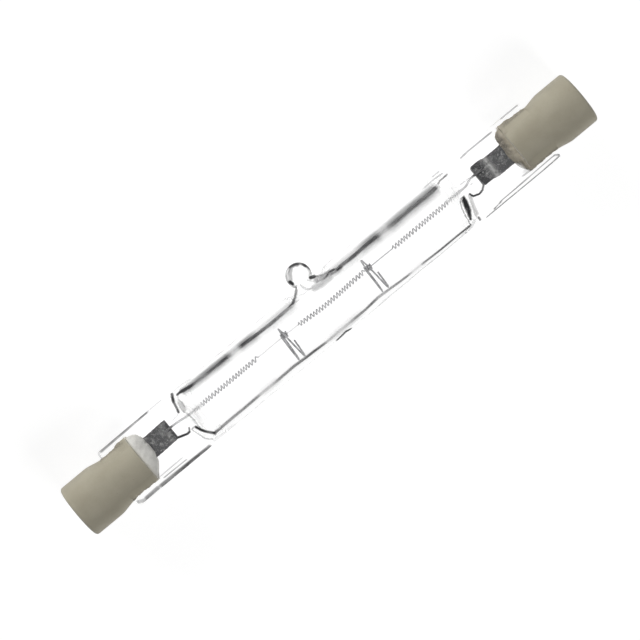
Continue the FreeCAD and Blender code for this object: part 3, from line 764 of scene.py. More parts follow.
def fold_share(x, s):
    """How dark the painted shade strokes are at places of the upper face."""
    total = np.zeros(len(x))
    for half, dark, path in REFRACTION_SHADES:
        nearest = np.full(len(x), math.inf)
        for (x0, s0), (x1, s1) in zip(path, path[1:]):
            run, rise = x1 - x0, s1 - s0
            t = np.clip(((x - x0) * run + (s - s0) * rise) / (run**2 + rise**2), 0, 1)
            nearest = np.minimum(nearest, np.hypot(x - x0 - run * t, s - s0 - rise * t))
        total = np.maximum(total, dark * (1 - ease(nearest, half * 0.5, half * 1.3)))
    return total


# The painted shade strokes lie on the upper face, on both faces of the flat blade, and not on the bore.
flat_blade = (reach > 22.6) & (np.abs(s) > 2)
fold = np.where(on_bore | ((f < 0) & ~flat_blade), 0, fold_share(x, s))
paint(quartz_body, fold=fold)
print("folds painted on", int((fold > 0.05).sum()), "points")

# %% [markdown]
# ## Wires wound on a guide
# The filament and its two supports are wires wound round a line. Modelling each turn by hand would
# take hundreds of points. A guide line that carries two numbers, how far the wire swings out and how
# many turns it has made, is enough: Geometry Nodes divide the guide, swing every point out, and sweep
# a round section along the result. The same tree draws straight and bent wires with no swing at all.

# %% Winding tree
def winding_tree():
    tree = bpy.data.node_groups.new("wound_wire", "GeometryNodeTree")
    tree.interface.new_socket("Geometry", in_out="OUTPUT", socket_type="NodeSocketGeometry")
    for name, kind in (("Geometry", "Geometry"), ("Wire Radius", "Float"), ("Sides", "Int"), ("Cuts", "Int"),
                       ("Metal", "Material")):
        tree.interface.new_socket(name, in_out="INPUT", socket_type="NodeSocket" + kind)

    def add(kind, values, settings=None):
        return add_node(tree, kind, settings, values).outputs[0]

    def named(name):
        return add("GeometryNodeInputNamedAttribute", {"Name": name}, {"data_type": "FLOAT"})

    def maths(operation, first, second=0.0):
        return add("ShaderNodeMath", {0: first, 1: second}, {"operation": operation})

    given = tree.nodes.new("NodeGroupInput").outputs
    guide = add("GeometryNodeMeshToCurve", {"Mesh": given["Geometry"]})
    fine = add("GeometryNodeSubdivideCurve", {"Curve": guide, "Cuts": given["Cuts"]})
    angle = maths("MULTIPLY", named("turns"), 2 * math.pi)
    swing = named("swing")
    offset = add("ShaderNodeCombineXYZ", {
        1: maths("MULTIPLY", swing, maths("COSINE", angle)),
        2: maths("MULTIPLY", swing, maths("SINE", angle))})
    swung = add("GeometryNodeSetPosition", {"Geometry": fine, "Offset": offset})
    section = add("GeometryNodeCurvePrimitiveCircle",
                  {"Resolution": given["Sides"], "Radius": given["Wire Radius"]}, {"mode": "RADIUS"})
    drawn = add("GeometryNodeCurveToMesh", {"Curve": swung, "Profile Curve": section, "Fill Caps": True})
    placed = add("GeometryNodeTransform", {
        "Geometry": drawn, "Translation": tuple(AXIS * MM), "Rotation": (-ROLL, 0, 0), "Scale": (MM, MM, MM)})
    smooth = add("GeometryNodeSetShadeSmooth", {"Geometry": placed, "Shade Smooth": True})
    real = add("GeometryNodeRealizeInstances", {"Geometry": smooth})
    painted = add("GeometryNodeSetMaterial", {"Geometry": real, "Material": given["Metal"]})
    tree.links.new(painted, tree.nodes.new("NodeGroupOutput").inputs["Geometry"])
    return tree


WINDING = winding_tree()
SOCKETS = {item.name: item.identifier for item in WINDING.interface.items_tree if item.in_out == "INPUT"}
print("winding inputs:", sorted(SOCKETS))

# %% [markdown]
# The tree is used as a modifier only for a moment: the wire becomes a plain mesh, and the guide goes
# away, so nothing is left in the scene that could change later.

# %% Wires from the tree
def wound_wire(name, guide, wire_radius, metal, stands_for, sides, cuts):
    """A wire from guide rows (x, s, f, swing, turns), drawn by the winding tree."""
    mesh = bpy.data.meshes.new(name + "_guide")
    mesh.from_pydata([row[:3] for row in guide], [(i, i + 1) for i in range(len(guide) - 1)], [])
    source = add_object(name + "_guide", mesh)
    paint(source, swing=[row[3] for row in guide], turns=[row[4] for row in guide])
    modifier = source.modifiers.new("winding", "NODES")
    modifier.node_group = WINDING
    for label, value in (("Wire Radius", wire_radius), ("Sides", sides), ("Cuts", cuts), ("Metal", metal)):
        modifier[SOCKETS[label]] = value
    bpy.context.view_layer.update()
    drawn = source.evaluated_get(bpy.context.evaluated_depsgraph_get())
    plain = bpy.data.meshes.new_from_object(drawn)
    bpy.data.objects.remove(source)
    for label in ("swing", "turns"):
        if label in plain.attributes:
            plain.attributes.remove(plain.attributes[label])
    plain.name = name
    piece = add_object(name, plain)
    finish_piece(piece, stands_for)
    return piece


def bent_guide(side, corners):
    """Guide rows of a wire with no turns, from its corners (distance from the middle, s, f)."""
    return [(side * x, s, f, 0.0, 0.0) for x, s, f in corners]


print("a straight guide:", bent_guide(-1, [(1.0, 0.0, 0.0), (2.0, 0.0, 0.0)]))

# %% [markdown]
# ## Metals inside the bulb
# Tungsten that has been drawn, wound and burnt is a soft grey metal. The lead wires are molybdenum,
# a little darker and smoother. A fine streaked noise along the wire varies the gloss. Two marks are
# painted on: wire that never glowed stays pale, and the leads are burnt dark at their welds.

# %% Wire finishes
def grey(value, blue=0.0):
    """A grey with a little more blue."""
    return (value, value, value + blue, 1)


def drawn_metal(name, pale, dark, gloss, grain, marks=()):
    net = Finish(name)
    streaks = net.noise(net.place((0.4, 1, 1)), grain, 4.0)
    colour = net.blend(streaks.step(0.35, 0.7), dark, pale)
    for mark, marked_colour in marks:
        colour = net.blend(net.painted(mark), colour, marked_colour)
    return net.surface(net.principled({
        "Base Color": colour, "Metallic": 0.85, "Roughness": gloss + streaks * 0.2,
        "Normal": net.bump(streaks, 0.2, 0.01 * MM)}))


tungsten = drawn_metal("tungsten", grey(0.68, 0.01), grey(0.36, 0.01), 0.35, 6.0, [("unburnt", grey(0.86))])
molybdenum = drawn_metal("molybdenum", grey(0.7), grey(0.45, 0.01), 0.3, 4.0)
darkened = drawn_metal("darkened_molybdenum", grey(0.55, 0.01), grey(0.2, 0.01), 0.4, 3.0)
lead_metal = drawn_metal("welded_lead", grey(0.75), grey(0.5, 0.01), 0.3, 4.0, [("weld", grey(0.07))])
print("wire finishes:", tungsten.name, molybdenum.name, darkened.name, lead_metal.name)

# %% [markdown]
# ## The filament
# It is one wire. Three coiled stretches glow, straight legs between them pass through the supports,
# and a finer coil at each end grips its lead. It hangs a little lower in the middle than at its ends.
# In the photograph the near halves of its turns stand square to the lamp, so the far halves carry
# the pitch: the places of the rows of each turn are shifted to say so.

# %% Filament guide
COIL_RADIUS, WIRE_RADIUS, ROWS_A_TURN, LEAN = 0.275, 0.075, 4, 0.75
RUN_IN, RUN_IN_TURN, LEG_STEP = 0.3, 0.12, 0.4
SUPPORT_X = 6.45
FILAMENT_LEVEL = {-1: 0.55, 0: 0.2, 1: 0.4}
COILED = [(-20.7, -19.4, 4), (-19.4, -10.8, 19), (-4.2, 5.6, 22), (10.4, 18.6, 18), (18.6, 20.8, 7)]


def level_at(x):
    """How far the filament lies from the tube's axis."""
    end = FILAMENT_LEVEL[side_of(x)]
    slack = math.cos(math.pi * abs(x) / SUPPORT_X / 2) ** 2 if abs(x) <= SUPPORT_X else 0
    return end + (FILAMENT_LEVEL[0] - end) * slack


def leg_rows(start, end, turns):
    """A straight leg between two coils: the swing fades out, stays away and grows again."""
    fade = [(RUN_IN * k / 3, COIL_RADIUS * (1 - k / 3) ** 1.5, RUN_IN_TURN * k) for k in (1, 2, 3)]
    after = round(turns + 3 * RUN_IN_TURN) + 1.0
    straight = end - start - 2 * RUN_IN
    pieces = max(round(straight / LEG_STEP), 1)
    rows = [(start + run, swing, turns + turn) for run, swing, turn in fade]
    rows += [(start + RUN_IN + straight * k / pieces, 0.0, after) for k in range(1, pieces)]
    rows += [(end - run, swing, after - turn) for run, swing, turn in reversed(fade)]
    return rows, after


def coil_rows(start, end, count, turns, first):
    """Whole turns from row first on, each with its rows shifted by the lean."""
    rows = []
    for k in range(first, count * ROWS_A_TURN + 1):
        shift = k % ROWS_A_TURN if k % ROWS_A_TURN < 3 else 1
        travelled = (k - LEAN * shift) / ROWS_A_TURN
        rows.append((start + (end - start) * travelled / count, COIL_RADIUS, turns + k / ROWS_A_TURN))
    return rows


print("level in the middle and at the supports:", level_at(0.0), level_at(SUPPORT_X))

# %% [markdown]
# The guide is put together stretch by stretch. Between two coils that don't touch comes a leg. Then
# the stretches that never glow, the end coils and the left legs, are painted pale.

# %% Filament
UNBURNT, UNBURNT_EDGE = [(-22.0, -19.5), (-10.5, -4.4), (18.8, 22.0)], 0.1

rows, turns, last_end = [], 0.0, None
for start, end, count in COILED:
    if last_end not in (None, start):
        leg, turns = leg_rows(last_end, start, turns)
        rows += leg
    rows += coil_rows(start, end, count, turns, 1 if last_end == start else 0)
    turns, last_end = turns + count, end
filament_guide = [(x, level_at(x), 0.0, swing, turn) for x, swing, turn in rows]
filament = wound_wire("filament_wire", filament_guide, WIRE_RADIUS, tungsten, ["filament"], 10, 5)

along = places_along(filament)
unburnt = sum(ease(along, low - UNBURNT_EDGE, low + UNBURNT_EDGE)
              * (1 - ease(along, high - UNBURNT_EDGE, high + UNBURNT_EDGE)) for low, high in UNBURNT)
paint(filament, unburnt=unburnt)
print("filament turns:", sum(count for _, _, count in COILED))

# %% [markdown]
# ## The supports
# Each support is a springy wire. It grips the filament's leg in three tight turns, swings out in half
# a turn, and ends in a ring that stands on the bore with both its low ends. The guide does all that.

# %% Filament supports
SUPPORT_WIRE, GRIP_RADIUS, RING_RADIUS, RING_CLEARANCE = 0.11, 0.295, 2.25, 0.05
GRIP_PITCH, RING_PITCH = 0.26, 0.95
GRIP_TURNS, SWING_TURNS, RING_TURNS = 3, 0.5, 1.25
GRIP_ROWS, RING_ROWS = 8, 16
RING_LEVEL = -(BORE_RADIUS - RING_RADIUS - SUPPORT_WIRE - RING_CLEARANCE)


def support_guide(middle):
    """Rows of the grip, of the half turn that swings out, and of the ring."""
    level, rows = level_at(middle), []
    grip_start = middle + GRIP_TURNS * GRIP_PITCH / 2
    grip_end, ring_start = grip_start - GRIP_TURNS * GRIP_PITCH, middle - RING_PITCH * RING_TURNS / 2
    for k in range(GRIP_TURNS * GRIP_ROWS):
        rows.append((grip_start - GRIP_PITCH * k / GRIP_ROWS, level, 0.0, GRIP_RADIUS, k / GRIP_ROWS))
    for k in range(RING_ROWS):
        share = k / RING_ROWS
        out = (float(ease(share, 0, 1)) + share) / 2
        rows.append((grip_end + (ring_start - grip_end) * share, level + (RING_LEVEL - level) * out, 0.0,
                     GRIP_RADIUS + (RING_RADIUS - GRIP_RADIUS) * out, GRIP_TURNS + share * SWING_TURNS))
    for k in range(round(RING_TURNS * RING_ROWS) + 1):
        rows.append((ring_start + RING_PITCH * k / RING_ROWS, RING_LEVEL, 0.0, RING_RADIUS,
                     GRIP_TURNS + SWING_TURNS + k / RING_ROWS))
    return rows


for side, word in SIDES:
    wound_wire("support_wire_" + word, support_guide(side * SUPPORT_X), SUPPORT_WIRE, darkened,
               ["filament_support_" + word], 12, 3)

# %% [markdown]
# ## The inner leads
# A short molybdenum wire joins the filament's end coil to the foil. It runs straight through the coil,
# then slants across the pocket to the foil, where it is pressed a little flat and welded.

# %% Inner leads
INNER_LEAD, WELD_LEVEL, LEAD_LIFT = 0.15, 0.8, 0.12
TAIL_END = {-1: 20.7, 1: 20.8}


def lead_corners(side):
    """Corners from inside the end coil to the weld on the foil."""
    level, tail, weld = FILAMENT_LEVEL[side], TAIL_END[side], FOIL_START[side]
    return [(tail - 0.8, level, 0.0), (tail + 0.5, level, 0.0), (tail + 1.0, level + 0.04, 0.01),
            (weld - 0.8, WELD_LEVEL - 0.03, LEAD_LIFT * 0.8), (weld - 0.3, WELD_LEVEL, LEAD_LIFT),
            (weld + 1.0, WELD_LEVEL, LEAD_LIFT)]


for side, word in SIDES:
    lead = wound_wire("inner_lead_wire_" + word, bent_guide(side, lead_corners(side)), INNER_LEAD, lead_metal,
                      ["inner_lead_" + word], 14, 8)
    paint(lead, weld=0.85 * ease(np.abs(places_along(lead)), FOIL_START[side] - 0.5, FOIL_START[side] - 0.1))

# %% [markdown]
# ## Sealing foils
# Quartz and solid wire shrink so differently that a wire would crack the seal. So the current crosses
# the pinch in a foil only hundredths of a millimetre thick. Pressed between hot quartz it is dark and
# mottled, with pale flecks, and a painted highlight stands for the light that it catches where it buckled.

# %% Foil finish
def foil_finish():
    net = Finish("pressed_foil")
    place = net.place()
    spots = net.noise(place, 1.6, 5.0, 0.62)
    flecks = net.noise(place, 3.4, 2.0)
    colour = net.blend(spots.step(0.48, 0.66), (0.05, 0.05, 0.052, 1), (0.15, 0.15, 0.15, 1))
    colour = net.blend(flecks.step(0.57, 0.68) * 0.5, colour, (0.4, 0.4, 0.39, 1))
    # painted highlight on the crease where the foil buckled
    colour = net.blend(net.painted("crease") * flecks.step(0.2, 0.6), colour, (0.42, 0.42, 0.41, 1))
    return net.surface(net.principled({
        "Base Color": colour, "Metallic": 0.35, "Roughness": 0.42 + spots * 0.25,
        "Normal": net.bump(spots, 0.4, 0.05 * MM)}))


pressed_foil = foil_finish()
print("foil finish:", pressed_foil.name)

# %% [markdown]
# A closed grid gives the foil its slight waves, worn corners and sway, and its long edges run out
# thin. The two grids, one for each face, are joined round their outline.

# %% Foil sheets
FOIL_WIDTH, FOIL_THICKNESS, FOIL_EDGE, FOIL_FEATHER = 2.9, 0.04, 0.01, 0.45
FOIL_OFFSET, FOIL_CORNER = {-1: 0.5, 1: 0.3}, {-1: 0.08, 1: 0.3}
# Painted highlights on the creases where the foils buckled.
CREASE_HIGHLIGHTS = ((25.5, 0.32, 0.8), (-24.8, 0.3, 0.35))  # place, half width and strength of each


def closed_sheet(upper, lower):
    """A closed shell from two grids of the same size that share their outline's corners."""
    rows, columns = upper.shape[:2]
    index = np.arange(rows * columns).reshape(rows, columns)
    under = rows * columns
    rim = [*index[:, 0], *index[-1, 1:], *index[-2::-1, -1], *index[0, -2:0:-1]]
    quads = [(index[i, j], index[i + 1, j], index[i + 1, j + 1], index[i, j + 1])
             for i in range(rows - 1) for j in range(columns - 1)]
    faces = quads + [tuple(under + k for k in reversed(quad)) for quad in quads]
    faces += [(rim[k], rim[k - 1], under + rim[k - 1], under + rim[k]) for k in range(len(rim))]
    points = np.vstack([upper.reshape(-1, 3), lower.reshape(-1, 3)])
    return points, facing_out(points, [tuple(int(i) for i in face) for face in faces])


def foil_sway(side, x):
    """How far the foil's middle line wanders, as the photograph shows it."""
    return 0.14 - 0.2 * ease(x, 24.6, 25.8) if side > 0 else 0.08 * (1 - ease(x, 24.2, 27.2))


def foil_shell(side):
    length, corner = FOIL_END[side] - FOIL_START[side], FOIL_CORNER[side]
    u, v = np.meshgrid(np.linspace(0, 1, 53), np.linspace(-1, 1, 33), indexing="ij")
    x = FOIL_START[side] + length * u
    into_corner = np.clip((corner - np.minimum(u, 1 - u) * length) / corner, 0, 1)
    narrowed = corner * (1 - np.sqrt(1 - into_corner**2))
    ragged = 0.03 * np.sin(x * 9.1 + side) + 0.02 * np.sin(x * 23.0)
    s = FOIL_OFFSET[side] + foil_sway(side, x) + v * (FOIL_WIDTH / 2 - narrowed - np.abs(ragged))
    wave = 0.02 * np.sin(x * 1.9 + s * 1.3) + 0.012 * np.sin(x * 4.7 - s * 2.1)
    feather = np.clip((1 - np.abs(v)) * FOIL_WIDTH / 2 / FOIL_FEATHER, 0, 1)
    half = (FOIL_EDGE + (FOIL_THICKNESS - FOIL_EDGE) * feather) / 2
    return closed_sheet(np.stack([side * x, s, wave + half], 2), np.stack([side * x, s, wave - half], 2))


for side, word in SIDES:
    foil = make_piece("foil_sheet_" + word, *foil_shell(side), "foil_metal", ["seal_foil_" + word],
                      [pressed_foil], crease=50)
    along = places_along(foil)
    # the painted highlight of each crease, carried as the number crease
    paint(foil, crease=sum(strong * np.exp(-(((along - at) / half) ** 2)) for at, half, strong in CREASE_HIGHLIGHTS))

# %% [markdown]
# ## Steatite caps
# The caps are pressed and turned from steatite, a matte ceramic in warm beige grey. Three noises give
# soft clouds, a fine grain and a few pores, and a little sheen stands for its dusty surface.

# %% Ceramic finish
def steatite():
    net = Finish("steatite")
    place = net.place()
    cloud = net.noise(place, 0.35, 3.0)
    grain = net.noise(place, 9.0, 6.0, 0.7)
    pores = net.noise(place, 3.2, 2.0)
    colour = net.blend(cloud.step(0.3, 0.7), (0.385, 0.354, 0.272, 1), (0.43, 0.4, 0.312, 1))
    colour = net.blend(grain.step(0.45, 0.8) * 0.35, colour, (0.31, 0.28, 0.21, 1))
    colour = net.blend(pores.step(0.68, 0.78) * 0.35, colour, (0.22, 0.2, 0.15, 1))
    return net.surface(net.principled({
        "Base Color": colour, "Roughness": 0.62 + grain * 0.2, "Specular IOR Level": 0.35,
        "Sheen Weight": 0.45, "Sheen Roughness": 0.5,
        "Normal": net.bump(grain + pores * 0.5, 0.25, 0.03 * MM)}))


steatite_finish = steatite()
print("cap finish:", steatite_finish.name)

# %% [markdown]
# One closed grid makes each cap: turned rings form the head with its contact recess, and two prongs
# shaped like a D reach over the pinch. Both share the ring of points where the slot ends, so there is
# no seam. First come the two outlines, that of a prong across and that of the head along the lamp.

# %% Cap outlines
SLOT_END, SLOT_HALF = BLADE_END + 0.25, 1.25
PRONG_RADIUS, HOLE_RADIUS, SEAT_RADIUS = 3.2, 0.78, 1.53
BUTTON_SEAT = CONTACT_FACE - 0.6
PRONG_CORNER, ARC_STEPS, CHORD_STEPS, GAP_STEPS = 0.16, 40, 24, 12
EDGE_ROUNDING, TAPER_START, TAPER_LENGTH = 0.38, SLOT_END + 0.05, 2.0


def prong_section(shrink=0.0):
    """Angles of a prong's arc, and its full D outline in (s, f) with round corners on the slot side."""
    radius, flat, corner = PRONG_RADIUS - shrink, SLOT_HALF + shrink, PRONG_CORNER
    first = math.asin((flat + corner) / (radius - corner))
    centre_s, centre_f = (radius - corner) * math.cos(first), flat + corner
    arc = [first + (math.pi - 2 * first) * k / ARC_STEPS for k in range(ARC_STEPS + 1)]
    outline = [(radius * math.cos(a), radius * math.sin(a)) for a in arc]
    bend = [(-centre_s + corner * math.cos(a), centre_f + corner * math.sin(a))
            for a in np.linspace(math.pi - first, 1.5 * math.pi, 6)[1:]]
    chord = [(-centre_s * (1 - 2 * k / CHORD_STEPS), flat) for k in range(1, CHORD_STEPS)]
    back = [(-s, f) for s, f in reversed(bend)]
    return arc, outline + bend + chord + back


def head_outline():
    """The head's outline as (x, radius): out along the taper, round the edge and into the recess."""
    rise = CAP_RADIUS - PRONG_RADIUS
    taper = [(TAPER_START + TAPER_LENGTH * t, PRONG_RADIUS + rise * (float(ease(t, 0, 1)) + t) / 2)
             for t in np.linspace(0, 1, 11)]
    barrel = [(HALF_LENGTH - before, CAP_RADIUS) for before in (3.35, 2.35, 1.35)]
    edge = [(HALF_LENGTH - EDGE_ROUNDING * (1 - math.sin(a)), CAP_RADIUS - EDGE_ROUNDING * (1 - math.cos(a)))
            for a in np.linspace(0, math.pi / 2, 8)]
    mouth = [(HALF_LENGTH - before, radius)
             for before, radius in ((0, 2.6), (0.02, 2.08), (0.1, 1.92), (0.25, 1.82), (0.55, RECESS_RADIUS))]
    seat = [(CONTACT_FACE, RECESS_RADIUS), (CONTACT_FACE, SEAT_RADIUS), (BUTTON_SEAT, SEAT_RADIUS)]
    hole = [(BUTTON_SEAT, HOLE_RADIUS), (SLOT_END, HOLE_RADIUS)]
    return [(SLOT_END, PRONG_RADIUS)] + taper + barrel + edge + mouth + seat + hole


def turned_rings(outline, angles):
    """Rings of points from an outline of (x, radius), turned about the lamp's middle."""
    return np.array([(x, r * math.cos(a), r * math.sin(a)) for x, r in outline for a in angles])


print("points across a prong:", len(prong_section()[1]), "along the head:", len(head_outline()))

# %% [markdown]
# The floor of the slot has an outer loop, which runs along both prongs and the cap's round side, and
# an inner loop, the hole for the contact's stem. Triangles between them advance on whichever loop
# has turned less.

# %% Floor between two loops
def turned_so_far(points, loop):
    """How far each corner of a loop lies round the middle from its first, in radians."""
    angles = [math.atan2(points[k][2], points[k][1]) for k in loop + loop[:1]]
    turns = [(b - a + math.pi) % (2 * math.pi) - math.pi for a, b in zip(angles, angles[1:])]
    return np.concatenate([[0], np.cumsum(turns)])


def bridge(points, outer, inner):
    """Triangles between two loops that go round the same middle the same way."""
    faces, i, j = [], 0, 0
    outer_turn, inner_turn = turned_so_far(points, outer), turned_so_far(points, inner)
    while i < len(outer) or j < len(inner):
        if j >= len(inner) or (i < len(outer) and outer_turn[i + 1] <= inner_turn[j + 1]):
            faces.append((outer[i % len(outer)], outer[(i + 1) % len(outer)], inner[j % len(inner)]))
            i += 1
        else:
            faces.append((outer[i % len(outer)], inner[(j + 1) % len(inner)], inner[j % len(inner)]))
            j += 1
    return faces


def from_nearest(points, loop, corner):
    """The loop, started at its point that lies nearest to a corner in angle."""

    def angle(k):
        return math.atan2(points[k][2], points[k][1]) % (2 * math.pi)

    start = min(range(len(loop)), key=lambda k: abs(
        (angle(loop[k]) - angle(corner) + math.pi) % (2 * math.pi) - math.pi))
    return loop[start:] + loop[:start]


print("triangles between two squares:", len(bridge(
    [(0, 2, 2), (0, -2, 2), (0, -2, -2), (0, 2, -2), (0, 1, 1), (0, -1, 1), (0, -1, -1), (0, 1, -1)],
    [0, 1, 2, 3], [4, 5, 6, 7])))

# %% [markdown]
# The prongs' first rings are a little smaller, which gives their ends a worn edge.

# %% Cap shape
PRONG_RINGS = [(0.0, 0.1), (0.03, 0.06), (0.1, 0.03), (0.25, 0.0), (1.45, 0.0), (2.95, 0.0)]  # past, shrink


def add_prong(points, faces, way, first, arc_count):
    """One prong, on the side of f that way gives. It shares its arc's points from first on with the
    head. The part of its last ring that borders the slot's floor is returned."""
    rings = []
    for x, shrink in [(CAP_START + past, shrink) for past, shrink in PRONG_RINGS] + [(SLOT_END, 0.0)]:
        ring = []
        for j, (s, f) in enumerate(prong_section(shrink)[1]):
            if x == SLOT_END and j < arc_count:
                ring.append(first + j)
            else:
                ring.append(len(points))
                points.append((x, way * s, way * f))
        rings.append(ring)
    n = len(rings[0])
    for low, high in zip(rings, rings[1:]):
        faces += [(low[k], low[(k + 1) % n], high[(k + 1) % n], high[k]) for k in range(n)]
    faces.append(tuple(reversed(rings[0])))
    return list(reversed(rings[-1][arc_count - 1:] + rings[-1][:1]))


def cap_shell():
    """The right cap as one closed shell."""
    arc = prong_section()[0]
    open_side = math.pi + arc[0] - arc[-1]
    gap = [arc[-1] + open_side * k / GAP_STEPS for k in range(1, GAP_STEPS)]
    angles = arc + gap + [a + math.pi for a in arc + gap]
    around, outline = len(angles), head_outline()
    points = [tuple(p) for p in turned_rings(outline, angles)]
    faces = tube_faces(len(outline), around)
    hole = list(range(len(points) - around, len(points)))
    floor = []
    for way, first in ((1, 0), (-1, around // 2)):
        floor += add_prong(points, faces, way, first, len(arc))
        floor += range(first + len(arc), first + len(arc) + len(gap))
    faces += bridge(points, floor, from_nearest(points, hole, floor[0]))
    return np.array(points), faces


def mirrored(points, side):
    return np.asarray(points) * np.array([side, 1, 1])


cap_points, cap_faces = cap_shell()
for side, word in SIDES:
    shell = mirrored(cap_points, side)
    make_piece("steatite_cap_" + word, shell, facing_out(shell, cap_faces), "ceramic",
               ["ceramic_cap_" + word], [steatite_finish], crease=42)

# %% [markdown]
# ## Cement
# The caps are held by a pale cement that fills their slots and was squeezed out along the pinch
# before it set. It is chalky and lumpy. At the right end it is thin, broken and stained, so that end
# gets a second mix of the same finish. Three painted numbers vary it: stain darkens it, dust gives it
# the cap's colour where it lies against the cap, and thin lets the glass show through.

# %% Cement finish
def chalky_cement(name, pale, dark):
    net = Finish(name)
    place = net.place()
    lumps = net.noise(place, 1.3, 4.0, 0.6)
    grit = net.noise(place, 7.0, 5.0, 0.7)
    colour = net.blend(lumps.step(0.35, 0.65), dark, pale)
    colour = net.blend(net.painted("dust"), colour, (0.45, 0.418, 0.328, 1))
    colour = net.blend(grit.step(0.3, 0.65) * net.painted("stain"), colour, (0.13, 0.12, 0.11, 1))
    return net.surface(net.principled({
        "Base Color": colour, "Roughness": 0.75 + grit * 0.2, "Specular IOR Level": 0.25,
        "Alpha": 1 - net.painted("thin") * (0.35 + grit * 0.9),
        "Normal": net.bump(lumps + grit * 0.6, 0.5, 0.08 * MM)}))


CEMENTS = {-1: chalky_cement("pale_cement", (0.84, 0.83, 0.79, 1), (0.74, 0.73, 0.69, 1)),
           1: chalky_cement("stained_cement", (0.46, 0.42, 0.34, 1), (0.33, 0.3, 0.24, 1))}
print("cement finishes:", [finish.name for finish in CEMENTS.values()])

# %% [markdown]
# A low mound that follows the blade's own height, closed underneath, gives each bead. Its outline is
# squarer on the tip's side, and a few sines make it uneven, more so at the right end.

# %% Beads on the blade
BEAD_REACH, BEAD_HALF, BEAD_OFFSET = {-1: 1.7, 1: 1.2}, {-1: 3.15, 1: 3.3}, {-1: 0.3, 1: 0.1}
BEAD_RISE, BEAD_ROUGH = {-1: 1.5, 1: 1.0}, {-1: 0.3, 1: 1.0}
SKIN = 0.006  # how far the cement stands off quartz and ceramic


def two_faces(side, face, upper, lower):
    """A closed sheet from (x, s, f) of its upper and its lower grid, on one face of the blade."""
    return closed_sheet(*(np.stack([side * x, s, face * f], 2) for x, s, f in (upper, lower)))


def bead_shell(side, face):
    """The mound on one face of the blade."""
    q, v = np.meshgrid(np.linspace(0, 1, 21), np.linspace(-1, 1, 71), indexing="ij")
    down = q * math.pi / 2
    rough = BEAD_ROUGH[side]
    waves = 0.07 * np.sin(7 * v + 1 + face) + 0.05 * np.sin(17 * v + side) + 0.03 * np.sin(31 * v)
    lump = 1 + rough * waves
    power = np.where(v > 0, 3.4, 1.8)
    crown = (1 - np.abs(v) ** power) ** np.where(v > 0, 0.5, 0.75)
    x = CAP_START - 0.01 - BEAD_REACH[side] * np.minimum(crown * lump, 1) * np.sin(down)
    s = BEAD_OFFSET[side] * np.sin(down) + v * BEAD_HALF[side] * (1 - 0.06 * q)
    base = blade_height(x, s) + SKIN
    bumpy = 1 + 0.08 * rough * np.sin(5 * x + 3 * s) * np.sin(4 * s - x) * np.sin(q * math.pi)
    top = base + BEAD_RISE[side] * crown * np.cos(down) ** 0.8 * bumpy
    return two_faces(side, face, (x, s, top), (x, s, base))


print("left bead reaches", round(float(np.abs(bead_shell(-1, 1)[0][:, 0]).min()), 2), "mm from the middle")

# %% [markdown]
# Cement was also squeezed out along the prongs. Each ridge rises from the blade in a curve that
# arrives tangent to the prong's round side, so that no edge shows where it ends. How far it reaches
# across differs from edge to edge, near the prong's end and further back.

# %% Ridges along the prongs
RIDGE_REACH = {(-1, 1): (3.42, 3.17), (-1, -1): (3.1, 3.05), (1, 1): (3.5, 3.33), (1, -1): (3.15, 3.12)}
RIDGE_TOP, RIDGE_FOOT, RIDGE_END, FOOT_SHARE = 2.35, 3.02, 33.0, 0.4
RIDGE_CHANGE = (30.1, 31.4)


def ridge_outside(x, t, reach, wall):
    """The ridge's curve from the blade at t 0 up to the prong at t 1, as (s, f)."""
    top_s = math.sqrt(wall**2 - RIDGE_TOP**2)
    base = blade_height(x, reach) + 0.02
    curve_s = (reach, reach, top_s + 0.5 * RIDGE_TOP / wall, top_s)
    curve_f = (base, base + 0.3, RIDGE_TOP - 0.5 * top_s / wall, RIDGE_TOP)
    shares = (1 - t) ** 3, 3 * t * (1 - t) ** 2, 3 * t**2 * (1 - t), t**3
    s, f = (sum(share * value for share, value in zip(shares, curve)) for curve in (curve_s, curve_f))
    outward = 1 + 0.004 / np.hypot(s, f)
    return s * outward, f * outward


def ridge_inside(x, t, reach, wall):
    """The ridge's underside: across the blade to the prong, then up the prong, as (s, f)."""
    on_blade = t < FOOT_SHARE
    across = reach + (RIDGE_FOOT - reach) * np.clip(t / FOOT_SHARE, 0, 1)
    foot_f = blade_height(x, RIDGE_FOOT) + SKIN
    rising = foot_f + (RIDGE_TOP - foot_f) * (t - FOOT_SHARE) / (1 - FOOT_SHARE)
    f = np.where(on_blade, blade_height(x, across) + SKIN, rising)
    return np.where(on_blade, across, np.sqrt(np.maximum(wall**2 - f**2, 0))), f


def prong_ridge(side, face, way):
    """The cement squeezed out along one long edge of a prong, where it meets the blade."""
    x, t = np.meshgrid(np.linspace(CAP_START + 0.02, RIDGE_END, 60), np.linspace(0, 1, 13), indexing="ij")
    near_end, far_end = RIDGE_REACH[side, way]
    ripple = 0.03 * np.sin(5 * x + way) + 0.02 * np.sin(13 * x)
    reach = near_end + (far_end - near_end) * ease(x, *RIDGE_CHANGE) + ripple
    reach = reach + (PRONG_RADIUS - reach) * ease(x, RIDGE_END - 0.8, RIDGE_END)
    wall = PRONG_RADIUS + SKIN
    outer_s, outer_f = ridge_outside(x, t, reach, wall)
    inner_s, inner_f = ridge_inside(x, t, reach, wall)
    return two_faces(side, face, (x, way * outer_s, outer_f), (x, way * inner_s, inner_f))


print("points in a ridge:", len(prong_ridge(1, 1, 1)[0]))

# %% [markdown]
# Thin slabs fill the slot on both faces of the blade, and a plug fills it past the blade's end. All
# the shells of one end are one mesh, because the cement set as one piece.

# %% Cement in the slot
SLAB_HALF = 2.9


